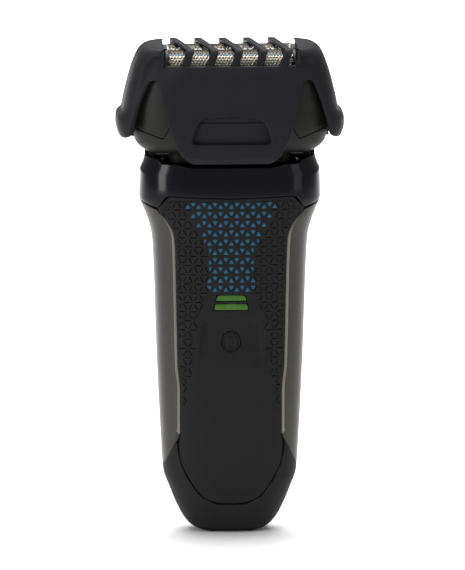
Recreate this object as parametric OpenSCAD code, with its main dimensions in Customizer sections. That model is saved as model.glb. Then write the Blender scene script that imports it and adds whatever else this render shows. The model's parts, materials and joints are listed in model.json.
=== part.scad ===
// Foil shaver with a pivoting twin-foil head, a lift-off comb, and a pop-up rear trimmer.
// Origin: centre of the flat base. +Z runs up the handle, -Y is the front, +X is the right side.

/* [Handle] */
// Thickness of the outer skins
skin_t = 1.5; // [1.3:0.1:1.6]
// Thickness of the inner shells
shell_t = 1.5; // [1.2:0.1:1.5]
// Gap between an outer skin and the shell under it
skin_gap = 0.35; // [0.3:0.05:0.4]
// Gap between neighbouring skins
seam = 0.3; // [0.2:0.05:0.4]
// Angle behind the widest point at which the side panels meet the rear cover
side_wrap = 12; // [8:1:16]

/* [Controls] */
// Radius of the power button
button_r = 3.3; // [3:0.1:3.6]
// Height of the power button above the base
button_z = 65.7; // [60:0.1:68]
// Height of the lower indicator bar above the base
bar_z = 76.5; // [75:0.1:77]
// Radial clearance round the button and the lenses
control_gap = 0.15; // [0.1:0.05:0.2]

/* [Power pack] */
// Radius of the battery cell
cell_r = 7; // [6.5:0.1:7.2]
// Length of the battery cell
cell_h = 50; // [44:1:50]
// Radius of the motor can
motor_r = 9.2; // [8:0.1:9.2]
// Length of the motor can
motor_h = 28; // [22:1:28]
// Radius of the motor shaft
shaft_r = 1; // [0.8:0.05:1.2]

/* [Charging socket] */
// Radius of one contact pin
pin_r = 0.9; // [0.8:0.05:0.9]
// Distance between the two pins
pin_pitch = 6.8; // [6.6:0.1:7]
// Depth of the socket
socket_depth = 9.5; // [8:0.5:10]

/* [Drive] */
// Throw of the eccentric
throw = 1.2; // [0.8:0.1:1.2]
// Radius of the ball on the eccentric
ball_r = 1.6; // [1.4:0.1:1.6]
// Running clearance of shafts, rods and posts
run_gap = 0.05; // [0.02:0.01:0.08]
// Height of the head's tilt axis above the base
pivot_z = 127; // [126.8:0.1:127.2]
// Radius of the tilt pins
tilt_pin_r = 1.1; // [1:0.05:1.2]

/* [Foils] */
// Radius of the foil arch
foil_r = 4.3; // [4.1:0.05:4.3]
// Distance of each foil's centre from the middle of the head
foil_y = 6.5; // [6.4:0.05:6.6]
// Height of the foils' centres above the base
foil_z = 158.6; // [158:0.1:158.7]
// Half of the foil's length
foil_half = 20.7; // [20:0.1:20.8]
// Thickness of the foil
foil_t = 0.2; // [0.15:0.01:0.2]
// Number of blades in each row
blade_count = 27; // [21:1:29]

/* [Comb] */
// Thickness of the comb's wall
comb_t = 1.4; // [1.2:0.1:1.4]
// Number of ribs
rib_count = 5; // [5:1:5]
// Distance between ribs
rib_pitch = 8.15; // [8:0.05:8.2]
// Width of one rib
rib_w = 2.4; // [2:0.1:2.6]
// Half of the width of the shaving window
window_half = 22.1; // [22.1:0.1:22.4]

/* [Hidden] */
$fn = 48;

// Outlines of the handle: [height, half width] and [height, depth] points joined by smooth curves
handle_w = [[0, 8.6], [1.2, 12], [3.9, 15], [9.3, 18], [14.7, 20.2], [20.5, 22.2], [30, 22.9],
    [60, 24.4], [93, 25.6], [100, 26.1], [105.4, 27.4], [110.5, 29.4], [113.5, 30.5],
    [121.8, 30.2], [124.4, 29.3], [127.1, 28.3]];
handle_front = [[0, 6.5], [1.2, 8.6], [4, 10.3], [9, 11.8], [15, 12.9], [25, 13.6], [40, 14.1],
    [80, 15], [100, 15.6], [110, 16.3], [115, 16.5], [121, 16.1], [124.5, 15.6], [127.1, 15.2]];
handle_rear = [[0, 6.5], [1.2, 8.8], [4, 10.8], [9, 12.4], [15, 13.6], [40, 15], [80, 15.3],
    [100, 15.2], [112, 15.8], [121, 15.7], [127.1, 15.2]];
front_n = 2.8;
rear_n = 2.4;

// Half width of the grip panel against height, and the lower edge of the side panels
grip_edge = [[10.6, 4], [11.3, 7], [13.2, 9.9], [19.1, 14.1], [25.5, 17], [31.4, 17.5],
    [33.7, 17], [49.2, 17], [57.4, 17.8], [69.9, 18.1], [97.5, 18.7], [102, 19.2],
    [106.2, 21.2], [110.1, 24.6], [113, 22.3], [114.2, 21.5]];
panel_tip_z = 112;
panel_foot = [22.2, 22.4];
bumper_edge = [[0, 10.2], [5.2, 10.4], [10.4, 13.2], [14.6, 19.1], [17.5, 25.5], [17.75, 32.8],
    [22.4, 22.4]];
fascia_edge = [[0, 113.9], [21, 114.4], [22.3, 113], [24.8, 110.3], [30, 112]];
collar_top = [[0, 124.5], [14, 124.6], [18, 125.4], [23.2, 125.6], [24.4, 127], [30, 127.1]];

// Outlines of the head, the foil frame and the comb
head_w = [[129.2, 28.6], [130.4, 30.2], [132.5, 31.8], [138, 33], [147, 32], [152, 31], [157.6, 29.4]];
head_d = [[129.2, 12.2], [130.4, 13.2], [133, 14.4], [138, 15.2], [147, 14.8], [152, 14.4], [157.6, 13.6]];
head_n = 3.4;
// Height of the joint between the head housing and the foil frame, against x
head_seam = [[0, 139.2], [19.3, 139.2], [23, 133.9], [32.7, 137.8], [34, 137.8]];
comb_w = [[125.8, 32.5], [132.8, 35], [133.8, 36.6], [135.2, 37.4], [138.1, 38.1], [140.6, 37.9],
    [141.4, 37.4], [142, 36.5], [143, 36.1], [147.4, 35.2], [155.5, 33.1], [159.6, 31.6],
    [161.6, 30.6], [163, 29.3], [163.8, 28], [164.1, 26.9]];
comb_d = [[125.8, 18.1], [135, 18.1], [145, 17.4], [155, 16.1], [160, 14.8], [162, 14.4], [163.3, 13.9],
    [163.9, 13.3], [164.1, 12.7]];
comb_top = 164.1;
comb_n = 4.2;
arch = [[-28.7, 152.3], [-28.2, 153.1], [-27.4, 153.6], [-26.4, 153.8], [-25.5, 153.5], [-24.8, 152.8],
    [-24.3, 151.5], [-22.8, 145.7], [-20.8, 138.4], [-19, 133.4], [-16.8, 128.9], [-14.6, 125.8],
    [-14.6, 120], [-45, 120], [-45, 133.5], [-36.4, 133.6], [-35.1, 134.4], [-34, 135.5], [-33.5, 136.6],
    [-33.2, 138.9], [-31.2, 145.9], [-28.9, 151.7]];
window_z = 158.6;
rib_z = 163.15;
rib_t = 0.95;
rib_start = -15.4;
rib_lean = 1.9;
rib_sweep = -4.7;

// Ears and lugs of the tilt joint
ear_x = 27.6;
ear_t = 1.4;
ear_z = 120.4;
lug_x = 25.5;
deck_low = 121.4;

// Charging pins: height of their free ends, and radius of their tails
pin_z = 1.4;
tail_r = 0.5;

// Heights inside the handle
shell_in = skin_t + skin_gap;
cell_z = 24;
cell_y = 2.5;
motor_z = 84;
shaft_top = 123.4;
seal_z = 117;
plate_t = 2;
board_y = -7.6;
board_t = 1.2;

// Rear trimmer
bay_half = 10.4;
bay_z = [83.5, 111.6];
bay_y = 10.2;
bay_wall = 0.8;
hinge_y = 11.5;
hinge_z = 87;
hinge_r = 0.8;
arm_half = 10.1;

// Head mechanism
rod_y = 7;
rod_z = 139;
rod_r = 1.5;
post_x = 12;
post_r = 1.2;
carrier_z = [151.5, 157.4];
deck_z = [156, 157.6];

// Pocket that holds the two foil units
pocket_x = 22;
pocket_y = 11.35;
pocket_z = 152.5;

// Smooth curve that never overshoots its points
function span_of(p, z, i = 0) = (i >= len(p) - 2 || z < p[i + 1][0]) ? i : span_of(p, z, i + 1);
function rise(p, i) = (p[i + 1][1] - p[i][1]) / (p[i + 1][0] - p[i][0]);
function tangent(p, i) = i <= 0 ? rise(p, 0)
    : i >= len(p) - 1 ? rise(p, len(p) - 2)
    : rise(p, i - 1) * rise(p, i) <= 0 ? 0
    : 2 * rise(p, i - 1) * rise(p, i) / (rise(p, i - 1) + rise(p, i));
function curve(p, z) =
    let (i = span_of(p, z), h = p[i + 1][0] - p[i][0], s = max(0, min(1, (z - p[i][0]) / h)))
    p[i][1] * (2 * s ^ 3 - 3 * s ^ 2 + 1) + tangent(p, i) * h * (s ^ 3 - 2 * s ^ 2 + s)
    + p[i + 1][1] * (3 * s ^ 2 - 2 * s ^ 3) + tangent(p, i + 1) * h * (s ^ 3 - s ^ 2);
function straight(p, x) =
    let (i = span_of(p, x), s = (x - p[i][0]) / (p[i + 1][0] - p[i][0]))
    p[i][1] + (p[i + 1][1] - p[i][1]) * max(0, min(1, s));
function mix(a, b, s) = a + (b - a) * s;

// Superellipse section: angle 0 is the right side, -90 the front, 90 the rear
function power(v, e) = sign(v) * pow(abs(v), e);
function section(w, d, n, a) = [w * power(cos(a), 2 / n), d * power(sin(a), 2 / n)];
function handle_at(a, z, inset) = let (
        front = a < 0,
        d = curve(front ? handle_front : handle_rear, z) - inset,
        p = section(curve(handle_w, z) - inset, d, front ? front_n : rear_n, a)
    ) [p.x, p.y, z];
// Angle at which the handle's front has half width x at height z
function front_angle(x, z) = -acos(min(1, pow(max(x, 0) / curve(handle_w, z), front_n / 2)));

// Solid between two depths of a surface. at(u, v, inset) gives its points, u and v from 0 to 1.
module skin(at, outer, inner, rows, cols, closed = false) {
    n = closed ? cols : cols + 1;
    layer = (rows + 1) * n;
    function id(k, i, j) = k * layer + i * n + (j % n);
    function quad(a, b, c, d) = [[a, b, c], [a, c, d]];
    points = [for (inset = [outer, inner]) for (i = [0:rows]) for (j = [0:n - 1])
        at(j / cols, i / rows, inset)];
    sheets = [for (i = [0:rows - 1]) for (j = [0:cols - 1]) each concat(
        quad(id(0, i, j), id(0, i + 1, j), id(0, i + 1, j + 1), id(0, i, j + 1)),
        quad(id(1, i, j), id(1, i, j + 1), id(1, i + 1, j + 1), id(1, i + 1, j)))];
    rims = [for (j = [0:cols - 1]) each concat(
        quad(id(0, 0, j), id(0, 0, j + 1), id(1, 0, j + 1), id(1, 0, j)),
        quad(id(0, rows, j + 1), id(0, rows, j), id(1, rows, j), id(1, rows, j + 1)))];
    ends = [for (i = [0:rows - 1]) each concat(
        quad(id(0, i + 1, 0), id(0, i, 0), id(1, i, 0), id(1, i + 1, 0)),
        quad(id(0, i, cols), id(0, i + 1, cols), id(1, i + 1, cols), id(1, i, cols)))];
    polyhedron(points, concat(sheets, rims, closed ? [] : ends));
}

// Solid ring of sections: at(u, v) gives its points
module loft(at, rows, cols) {
    points = [for (i = [0:rows]) for (j = [0:cols - 1]) at(j / cols, i / rows)];
    function id(i, j) = i * cols + (j % cols);
    walls = [for (i = [0:rows - 1]) for (j = [0:cols - 1]) each [
        [id(i, j), id(i + 1, j), id(i + 1, j + 1)], [id(i, j), id(i + 1, j + 1), id(i, j + 1)]]];
    polyhedron(points, concat(walls, [[for (j = [0:cols - 1]) j]],
        [[for (j = [cols - 1:-1:0]) id(rows, j)]]));
}

module rounded(x, y, r) {
    square([2 * x, 2 * (y - r)], center = true);
    square([2 * (x - r), 2 * y], center = true);
    for (i = [-1, 1], j = [-1, 1]) translate([i * (x - r), j * (y - r)]) circle(r);
}
module slab(x, y, r, z0, z1) { translate([0, 0, z0]) linear_extrude(z1 - z0) rounded(x, y, r); }
module box(lo, hi) { translate(lo) cube(hi - lo); }
module rod_x(r, x0, x1, y, z) { translate([x0, y, z]) rotate([0, 90, 0]) cylinder(r = r, h = x1 - x0); }
module rod_y(r, y0, y1, x, z) { translate([x, y0, z]) rotate([-90, 0, 0]) cylinder(r = r, h = y1 - y0); }
module rod_z(r, z0, z1, x = 0, y = 0) { translate([x, y, z0]) cylinder(r = r, h = z1 - z0); }
// Extrudes a front view, drawn as x and z, from y0 to y1
module front_view(y0, y1) { translate([0, y1, 0]) rotate([90, 0, 0]) linear_extrude(y1 - y0) children(); }
// Extrudes a side view, drawn as y and z, from x0 to x1
module side_view(x0, x1) { translate([x0, 0, 0]) rotate([90, 0, 90]) linear_extrude(x1 - x0) children(); }

// ---------- Handle shells and skins ----------
shell_z = [1.6, 116.1];
module shell_half(a0, a1) {
    at = function (u, v, inset)
        let (z = shell_z[0] + (shell_z[1] - shell_z[0]) * (v < 0.5 ? v * v * 0.8 : 1.6 * v - 0.6))
        handle_at(mix(a0, a1, u), z, inset);
    skin(at, shell_in, shell_in + shell_t, 18, 16);
}
module button_cut(grow) { rod_y(button_r + grow, -20, -6, 0, button_z); }
module bar(z, low, high, h, grow) {
    polygon([[-low - grow, z - grow], [low + grow, z - grow], [high + grow, z + h + grow],
        [-high - grow, z + h + grow]]);
}
module bars(y0, y1, grow) {
    front_view(y0, y1) bar(bar_z, 5.8, 5.5, 2.1, grow);
    front_view(y0, y1) bar(bar_z + 3.1, 5.2, 4.7, 1.9, grow);
}
module front_shell() {
    color([0.16, 0.16, 0.17]) difference() {
        shell_half(-179.6, -0.4);
        button_cut(control_gap);
        box([-6.5, -16, bar_z - 0.7], [6.5, -6, bar_z + 5.8]);
    }
}
module rear_shell() {
    color([0.16, 0.16, 0.17]) difference() {
        shell_half(0.4, 179.6);
        box([-bay_half - bay_wall - 0.2, 7, bay_z[0] - 1], [bay_half + bay_wall + 0.2, 20, bay_z[1] + 1]);
        box([-2.4, 7, 57.8], [2.4, 20, 79.2]);
    }
}
module fascia() {
    at = function (u, v, inset) let (
            a = -180 + 360 * u,
            x = curve(handle_w, 112) * pow(abs(cos(a)), 2 / front_n),
            low = (a < 0 ? straight(fascia_edge, x) : panel_tip_z) + seam / 2
        ) handle_at(a, mix(low, straight(collar_top, x), v), inset);
    color([0.05, 0.05, 0.06]) difference() {
        skin(at, 0, skin_t, 6, 56, true);
        for (i = [-1, 1]) box([i * 29 - 2.4, -2.2, ear_z], [i * 29 + 2.4, 2.2, 130]);
    }
}
module grip_panel() {
    at = function (u, v, inset) let (
            z = mix(grip_edge[0][0] + seam, grip_edge[len(grip_edge) - 1][0] - seam,
                v < 0.25 ? 0.8 * v : v < 0.8 ? 0.2 + (v - 0.25) * 1.2 : 0.86 + (v - 0.8) * 0.7),
            a = front_angle(curve(grip_edge, z), z)
        ) handle_at(mix(-180 - a, a, u), z, inset);
    color([0.15, 0.15, 0.16]) difference() {
        skin(at, 0, skin_t, 28, 18);
        button_cut(control_gap);
        bars(-20, -6, control_gap);
    }
}
module side_panel(side) {
    at = function (u, v, inset) let (
            z = mix(panel_foot[1] + seam, panel_tip_z - seam, v),
            edge = z < 33.7 ? mix(panel_foot[0], 17.1, (z - panel_foot[1]) / (33.7 - panel_foot[1]))
                : z > 110.1 ? mix(24.9, 29.6, (z - 110.1) / (panel_tip_z - 110.1))
                : curve(grip_edge, z),
            p = handle_at(mix(front_angle(edge + seam, z), side_wrap, u), z, inset)
        ) p;
    color([0.33, 0.32, 0.31]) mirror([side < 0 ? 1 : 0, 0, 0]) skin(at, 0, skin_t, 30, 7);
}
module side_panel_left() { side_panel(-1); }
module side_panel_right() { side_panel(1); }
module lower_bumper() {
    corners = len(bumper_edge) - 1;
    at = function (u, v, inset) let (
            s = abs(2 * u - 1) * corners,
            k = min(corners - 1, floor(s)),
            edge = bumper_edge[k] + (bumper_edge[k + 1] - bumper_edge[k]) * (s - k),
            a = min(-0.5, front_angle(edge.x, edge.y)),
            z = mix(1.5, edge.y - seam, v)
        ) handle_at(u > 0.5 ? a : -180 - a, z, inset);
    color([0.09, 0.09, 0.1]) skin(at, 0, skin_t, 10, 48);
}
module rear_cover() {
    at = function (u, v, inset) let (
            foot = panel_foot[1],
            step = 0.7,
            z = v < 0.3 ? mix(1.5, foot - step, pow(v / 0.3, 1.3))
                : v < 0.35 ? mix(foot - step, foot, (v - 0.3) / 0.05)
                : mix(foot, panel_tip_z - seam / 2, (v - 0.35) / 0.65),
            a = v < 0.32 ? 0.5 : side_wrap + 1
        ) handle_at(mix(a, 180 - a, u), z, inset);
    color([0.09, 0.09, 0.1]) difference() {
        skin(at, 0, skin_t, 20, 20);
        box([-arm_half - 0.5, 7, bay_z[0] + 0.1], [arm_half + 0.5, 20, 120]);
        box([-2, 7, 58.2], [2, 20, 78.8]);
    }
}
module base_cap() {
    at = function (u, v) let (foot = v < 0.6, z = foot ? v * 2 : 1.2 + (v - 0.6) * 7)
        handle_at(-180 + 360 * u, foot ? z : 1.2, foot ? 0 : 3.6) + [0, 0, foot ? 0 : z - 1.2];
    color([0.1, 0.1, 0.11]) difference() {
        loft(at, 5, 40);
        slab(7.05, 4.15, 2.2, -1, 6);
    }
}

// ---------- Charging socket ----------
module charge_socket() {
    color([0.07, 0.07, 0.08]) difference() {
        slab(6.95, 4.05, 2.1, 0.2, socket_depth + 2);
        slab(6, 3.2, 1.6, -1, socket_depth);
        for (i = [-1, 1]) rod_z(tail_r, 5, 15, i * pin_pitch / 2);
    }
}
module charge_pins() {
    color([0.8, 0.78, 0.7]) for (i = [-1, 1]) {
        rod_z(pin_r, pin_z, socket_depth, i * pin_pitch / 2);
        rod_z(tail_r, socket_depth, socket_depth + 5, i * pin_pitch / 2);
    }
}

// ---------- Power pack ----------
module inner_frame() {
    color([0.75, 0.75, 0.72]) difference() {
        union() {
            for (z = [21.2, 76, 81.8]) translate([0, 1.8, 0]) slab(13, 7.4, 2, z, z + 1.8);
            slab(14, 8.2, 3, 114.6, 116.2);
            for (i = [-1, 1]) box([i * 12.3 - 0.8, -3.2, 21.2], [i * 12.3 + 0.8, 3.2, 116]);
        }
        rod_z(3.2, 110, 120);
        for (i = [-1, 1]) rod_z(1.1, 110, 120, i * 10.6, 5.5);
        for (i = [-1, 1]) rod_z(1.1, 110, 120, i * 10.6, -5.5);
    }
}
module battery() {
    color([0.2, 0.45, 0.3]) {
        rod_z(cell_r, cell_z, cell_z + cell_h - 1, 0, cell_y);
        rod_z(2.6, cell_z + cell_h - 1, cell_z + cell_h, 0, cell_y);
    }
}
module battery_contacts() {
    color([0.8, 0.8, 0.8]) {
        rod_z(4, cell_z - 0.7, cell_z - 0.1, 0, cell_y);
        rod_z(4, cell_z + cell_h + 0.1, cell_z + cell_h + 0.7, 0, cell_y);
    }
}
module circuit_board() {
    color([0.1, 0.4, 0.25]) {
        box([-10.5, board_y, 16], [10.5, board_y + board_t, 82.4]);
        for (z = [30, 42, 54]) box([-4, board_y - 1, z], [3, board_y, z + 5]);
    }
}
module tact_switch() {
    color([0.5, 0.5, 0.5]) {
        box([-3, board_y - 0.9, button_z - 3], [3, board_y, button_z + 3]);
        rod_y(1.4, board_y - 1.3, board_y - 0.9, 0, button_z);
    }
}
module light_guide() {
    color([0.8, 0.85, 0.8, 0.6]) box([-6, board_y - 3.6, bar_z - 0.2], [6, board_y - 0.1, bar_z + 5.2]);
}
module indicator_lenses() { color([0.36, 0.55, 0.16]) bars(-14.9, board_y - 3.8, 0); }
module motor_can() {
    color([0.7, 0.7, 0.72]) difference() {
        union() {
            rod_z(motor_r, motor_z, motor_z + motor_h);
            rod_z(3, motor_z + motor_h, motor_z + motor_h + 2.4);
        }
        rod_z(motor_r - 0.9, motor_z + 1.5, motor_z + motor_h - 1.5);
        rod_z(shaft_r + run_gap, motor_z + 0.5, motor_z + motor_h + 3);
    }
}
module motor_magnets() {
    color([0.3, 0.3, 0.32]) difference() {
        rod_z(motor_r - 1, motor_z + 4, motor_z + motor_h - 5);
        rod_z(motor_r - 2.4, motor_z, motor_z + motor_h);
        box([-motor_r, -1.5, motor_z], [motor_r, 1.5, motor_z + motor_h]);
    }
}
module motor_armature() {
    color([0.6, 0.45, 0.3]) difference() {
        rod_z(motor_r - 2.8, motor_z + 5, motor_z + motor_h - 6);
        rod_z(shaft_r + 0.02, motor_z, motor_z + motor_h);
        for (k = [0:4]) rotate([0, 0, 72 * k])
            box([3.6, -0.6, motor_z], [motor_r, 0.6, motor_z + motor_h]);
    }
}
module motor_shaft() { color([0.75, 0.75, 0.78]) rod_z(shaft_r, motor_z + 0.8, shaft_top - 1.6); }
module eccentric_cam() {
    color([0.85, 0.85, 0.82]) {
        rod_z(3.2, shaft_top - 1.6, shaft_top);
        rod_z(0.9, shaft_top, pivot_z, 0, -throw);
        translate([0, -throw, pivot_z]) sphere(r = ball_r);
    }
}

// ---------- Neck ----------
module neck_deck() {
    color([0.05, 0.05, 0.06]) difference() {
        slab(24.8, 11.6, 9, deck_low, deck_low + 1.6);
        slab(22, 8.6, 3, deck_low - 1, deck_low + 3);
    }
}
module pivot_bracket() {
    color([0.05, 0.05, 0.06]) difference() {
        union() {
            slab(25.8, 11, 8, seal_z, seal_z + plate_t);
            for (i = [-1, 1]) {
                box([i * 26.9 - 1.5, -2, seal_z], [i * 26.9 + 1.5, 2, seal_z + plate_t]);
                box([i * ear_x - ear_t / 2, -2, seal_z], [i * ear_x + ear_t / 2, 2, pivot_z]);
                rod_x(2, i * ear_x - ear_t / 2, i * ear_x + ear_t / 2, 0, pivot_z);
            }
        }
        for (i = [-1, 1]) rod_x(tilt_pin_r, i * ear_x - 2, i * ear_x + 2, 0, pivot_z);
        rod_z(4, seal_z - 1, seal_z + 3);
        for (i = [-1, 1], j = [-1, 1]) rod_z(1.1, seal_z - 1, seal_z + 3, i * 10.6, j * 5.5);
    }
}
module bracket_gasket() {
    color([0.2, 0.2, 0.2]) difference() {
        slab(25, 10.2, 7.5, 116.3, seal_z);
        slab(23.6, 8.8, 6, 116, seal_z + 1);
    }
}
module shaft_seal() {
    color([0.25, 0.15, 0.12]) difference() {
        rod_z(4, seal_z, seal_z + plate_t);
        rod_z(shaft_r + run_gap, seal_z - 1, seal_z + 3);
    }
}
module bracket_screws() {
    color([0.7, 0.7, 0.7]) for (i = [-1, 1], j = [-1, 1]) {
        rod_z(1, 112.5, seal_z + plate_t, i * 10.6, j * 5.5);
        difference() {
            rod_z(1.9, seal_z + plate_t, seal_z + plate_t + 1.1, i * 10.6, j * 5.5);
            translate([i * 10.6, j * 5.5, seal_z + plate_t + 0.4]) cylinder(r = 0.9, h = 2, $fn = 6);
        }
    }
}
module pivot_pins() {
    color([0.8, 0.8, 0.82]) for (i = [-1, 1]) rod_x(tilt_pin_r, i * 24.4 - 3.9, i * 24.4 + 3.9, 0, pivot_z);
}

// ---------- Power button ----------
module power_button() {
    front_y = -curve(handle_front, button_z);
    color([0.13, 0.13, 0.14]) difference() {
        rod_y(button_r, front_y + 0.05, board_y - 2.05, 0, button_z);
        difference() {
            rod_y(button_r - 0.1, front_y - 1, front_y + 0.35, 0, button_z);
            rod_y(button_r - 0.8, front_y - 2, front_y + 1, 0, button_z);
        }
    }
}

// ---------- Head ----------
module head_chassis() {
    color([0.2, 0.2, 0.2]) difference() {
        union() {
            slab(25.6, 9.4, 7, 129.4, 131.2);
            slab(20.2, 7, 3, 124.8, 130);
            for (i = [-1, 1]) {
                side_view(i * 24.5 - 2, i * 24.5 + 2) polygon([[-4.2, 129.4], [4.2, 129.4],
                    [9.2, 134], [9.2, 142], [-9.2, 142], [-9.2, 134]]);
                box([i * lug_x - 1.1, -2.2, pivot_z], [i * lug_x + 1.1, 2.2, 130]);
                rod_x(2.2, i * lug_x - 1.1, i * lug_x + 1.1, 0, pivot_z);
            }
        }
        for (i = [-1, 1]) rod_x(tilt_pin_r + run_gap, i * lug_x - 2, i * lug_x + 2, 0, pivot_z);
        for (j = [-1, 1]) rod_x(rod_r, -30, 30, j * rod_y, rod_z);
        slab(5.4, 5.6, 1, 124, 132);
    }
}
function head_at(a, z, inset) = let (
        p = section(curve(head_w, z) - inset, curve(head_d, z) - inset, head_n, a)
    ) [p.x, p.y, z];
function seam_at(a) = straight(head_seam, curve(head_w, 136) * pow(abs(cos(a)), 2 / head_n));
module head_housing() {
    at = function (u, v, inset) head_at(-180 + 360 * u,
        mix(head_w[0][0], seam_at(-180 + 360 * u) - seam / 2, v), inset);
    color([0.24, 0.24, 0.22]) difference() {
        skin(at, 0, 1.6, 7, 56, true);
        for (i = [-1, 1]) box([i * 33 - 5, -5.2, 133.3], [i * 33 + 5, 5.2, 137.1]);
    }
}
module guide_rods() { color([0.8, 0.8, 0.82]) for (j = [-1, 1]) rod_x(rod_r, -26.4, 26.4, j * rod_y, rod_z); }
module release_button(side) {
    color([0.26, 0.26, 0.24]) mirror([side < 0 ? 1 : 0, 0, 0]) translate([29, 0, 135.2])
        rotate([0, 90, 0]) linear_extrude(3.7) rounded(1.7, 5, 1.4);
}
module release_button_left() { release_button(-1); }
module release_button_right() { release_button(1); }

// ---------- Drive ----------
module drive_bridge() {
    color([0.85, 0.85, 0.8]) difference() {
        union() {
            box([-14, -rod_y - 2.4, rod_z - 1], [14, rod_y + 2.4, rod_z + 2.6]);
            for (j = [-1, 1]) rod_x(2.6, -14, 14, j * rod_y, rod_z);
            for (i = [-1, 1]) box([i * 2.75 - 0.75, -3, pivot_z - 1.9], [i * 2.75 + 0.75, 3, rod_z]);
        }
        for (j = [-1, 1]) rod_x(rod_r + run_gap, -20, 20, j * rod_y, rod_z);
        for (i = [-1, 1], j = [-1, 1]) rod_z(post_r, rod_z + 0.2, rod_z + 5, i * post_x, j * foil_y);
    }
}
module drive_posts() {
    color([0.8, 0.8, 0.82]) for (i = [-1, 1], j = [-1, 1])
        rod_z(post_r, rod_z + 1.6, 155, i * post_x, j * foil_y);
}
module blade_carrier(y) {
    color([0.16, 0.55, 0.75]) difference() {
        union() {
            box([-foil_half + 1.5, y - 3.2, carrier_z[0] + 2], [foil_half - 1.5, y + 3.2, carrier_z[1]]);
            for (i = [-1, 1]) rod_z(2.6, carrier_z[0], carrier_z[0] + 2, i * post_x, y);
        }
        for (i = [-1, 1]) rod_z(post_r + run_gap, carrier_z[0] - 1, 156.8, i * post_x, y);
    }
}
module blade_row(y) {
    pitch = 2 * (foil_half - 1.6) / (blade_count - 1);
    color([0.85, 0.86, 0.88]) for (k = [0:blade_count - 1]) {
        x = -foil_half + 1.6 + k * pitch;
        side_view(x - 0.15, x + 0.15) difference() {
            translate([y, foil_z]) circle(foil_r - foil_t - 0.15);
            translate([y, foil_z]) circle(2.6);
            translate([y - 6, carrier_z[1] - 10]) square([12, 10]);
        }
    }
}
module springs(y) {
    color([0.8, 0.8, 0.8]) for (i = [-1, 1], k = [0:5]) translate([i * post_x, y, rod_z + 3 + 1.75 * k])
        rotate_extrude() translate([1.75, 0]) circle(0.25, $fn = 16);
}
module front_blade_carrier() { blade_carrier(-foil_y); }
module rear_blade_carrier() { blade_carrier(foil_y); }
module front_blades() { blade_row(-foil_y); }
module rear_blades() { blade_row(foil_y); }
module front_springs() { springs(-foil_y); }
module rear_springs() { springs(foil_y); }

// ---------- Foil cassette ----------
module foil_frame() {
    at = function (u, v, inset) head_at(-180 + 360 * u,
        mix(seam_at(-180 + 360 * u) + seam / 2, deck_z[1], v), inset);
    color([0.2, 0.2, 0.19]) difference() {
        skin(at, 0, 1.4, 8, 56, true);
        box([-pocket_x, -pocket_y, pocket_z], [pocket_x, pocket_y, 160]);
    }
}
module foil_deck() {
    color([0.14, 0.14, 0.15]) difference() {
        slab(26.8, 10.8, 9, deck_z[0], deck_z[1]);
        for (j = [-1, 1]) box([-pocket_x, j * 6.85 - 5.2, 150], [pocket_x, j * 6.85 + 5.2, 160]);
    }
}
module intercept_guard() {
    color([0.8, 0.8, 0.82]) difference() {
        box([-21.4, -1.3, deck_z[1]], [21.4, 1.3, 162.4]);
        box([-22, -0.95, deck_z[1] - 1], [22, 0.95, 162.05]);
        for (k = [-13:13]) box([k * 1.5 - 0.35, -2, 160.6], [k * 1.5 + 0.35, 2, 163]);
    }
}
module intercept_blade() {
    color([0.7, 0.7, 0.72]) difference() {
        box([-19.6, -0.8, deck_z[1] + 0.3], [19.6, 0.8, 161.9]);
        for (k = [-12:12]) box([k * 1.5 - 0.4, -2, 160.6], [k * 1.5 + 0.4, 2, 163]);
    }
}
module foil_profile(y, r, low) {
    translate([y, foil_z]) circle(r);
    translate([y - r, low]) square([2 * r, foil_z - low]);
}
module foil(y) {
    color([0.8, 0.76, 0.7]) side_view(-foil_half, foil_half) difference() {
        foil_profile(y, foil_r, 153.6);
        foil_profile(y, foil_r - foil_t, 153);
    }
}
module foil_holder(y) {
    color([0.16, 0.55, 0.75]) {
        for (i = [-1, 1]) side_view(i * (foil_half + 0.55) - 0.55, i * (foil_half + 0.55) + 0.55)
            foil_profile(y, foil_r - 0.15, 153);
        for (j = [-1, 1])
            box([-foil_half - 1.1, y + j * 4.5 - 0.2, 153], [foil_half + 1.1, y + j * 4.5 + 0.2, 155.4]);
    }
}
module front_foil() { foil(-foil_y); }
module rear_foil() { foil(foil_y); }
module front_foil_holder() { foil_holder(-foil_y); }
module rear_foil_holder() { foil_holder(foil_y); }

// ---------- Comb ----------
function comb_at(u, z, inset) = let (
        p = section(curve(comb_w, z) - inset, curve(comb_d, z) - inset, comb_n, -180 + 360 * u)
    ) [p.x, p.y, z];
module comb_shell() {
    // Rows lie closer together towards the rounded top
    at = function (u, v, inset) comb_at(u, mix(comb_top, comb_w[0][0], pow(1 - v, 1.6)), inset);
    difference() {
        skin(at, 0, comb_t, 18, 44, true);
        front_view(-30, 30) polygon(arch);
        mirror([1, 0, 0]) front_view(-30, 30) polygon(arch);
        box([-window_half, -30, window_z], [window_half, 30, 170]);
        translate([0, 0, 136.2]) front_view(-30, 0) rounded(13.4, 3.4, 1.6);
    }
}
module comb_rib(x) {
    half = rib_w / 2;
    top = rib_z + rib_t;
    front_view(-14.4, -11.6) polygon([[x - half, window_z - 1], [x + half, window_z - 1],
        [x + rib_lean + half, top], [x + rib_lean - half, top]]);
    translate([0, 0, rib_z]) linear_extrude(rib_t) polygon([[x + rib_lean - half, -12.4],
        [x + rib_lean + half, -12.4], [x + rib_lean + rib_sweep + half, 12.4],
        [x + rib_lean + rib_sweep - half, 12.4]]);
    box([x + rib_lean + rib_sweep - half, 11.6, window_z - 1], [x + rib_lean + rib_sweep + half, 14.4, top]);
}
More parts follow.
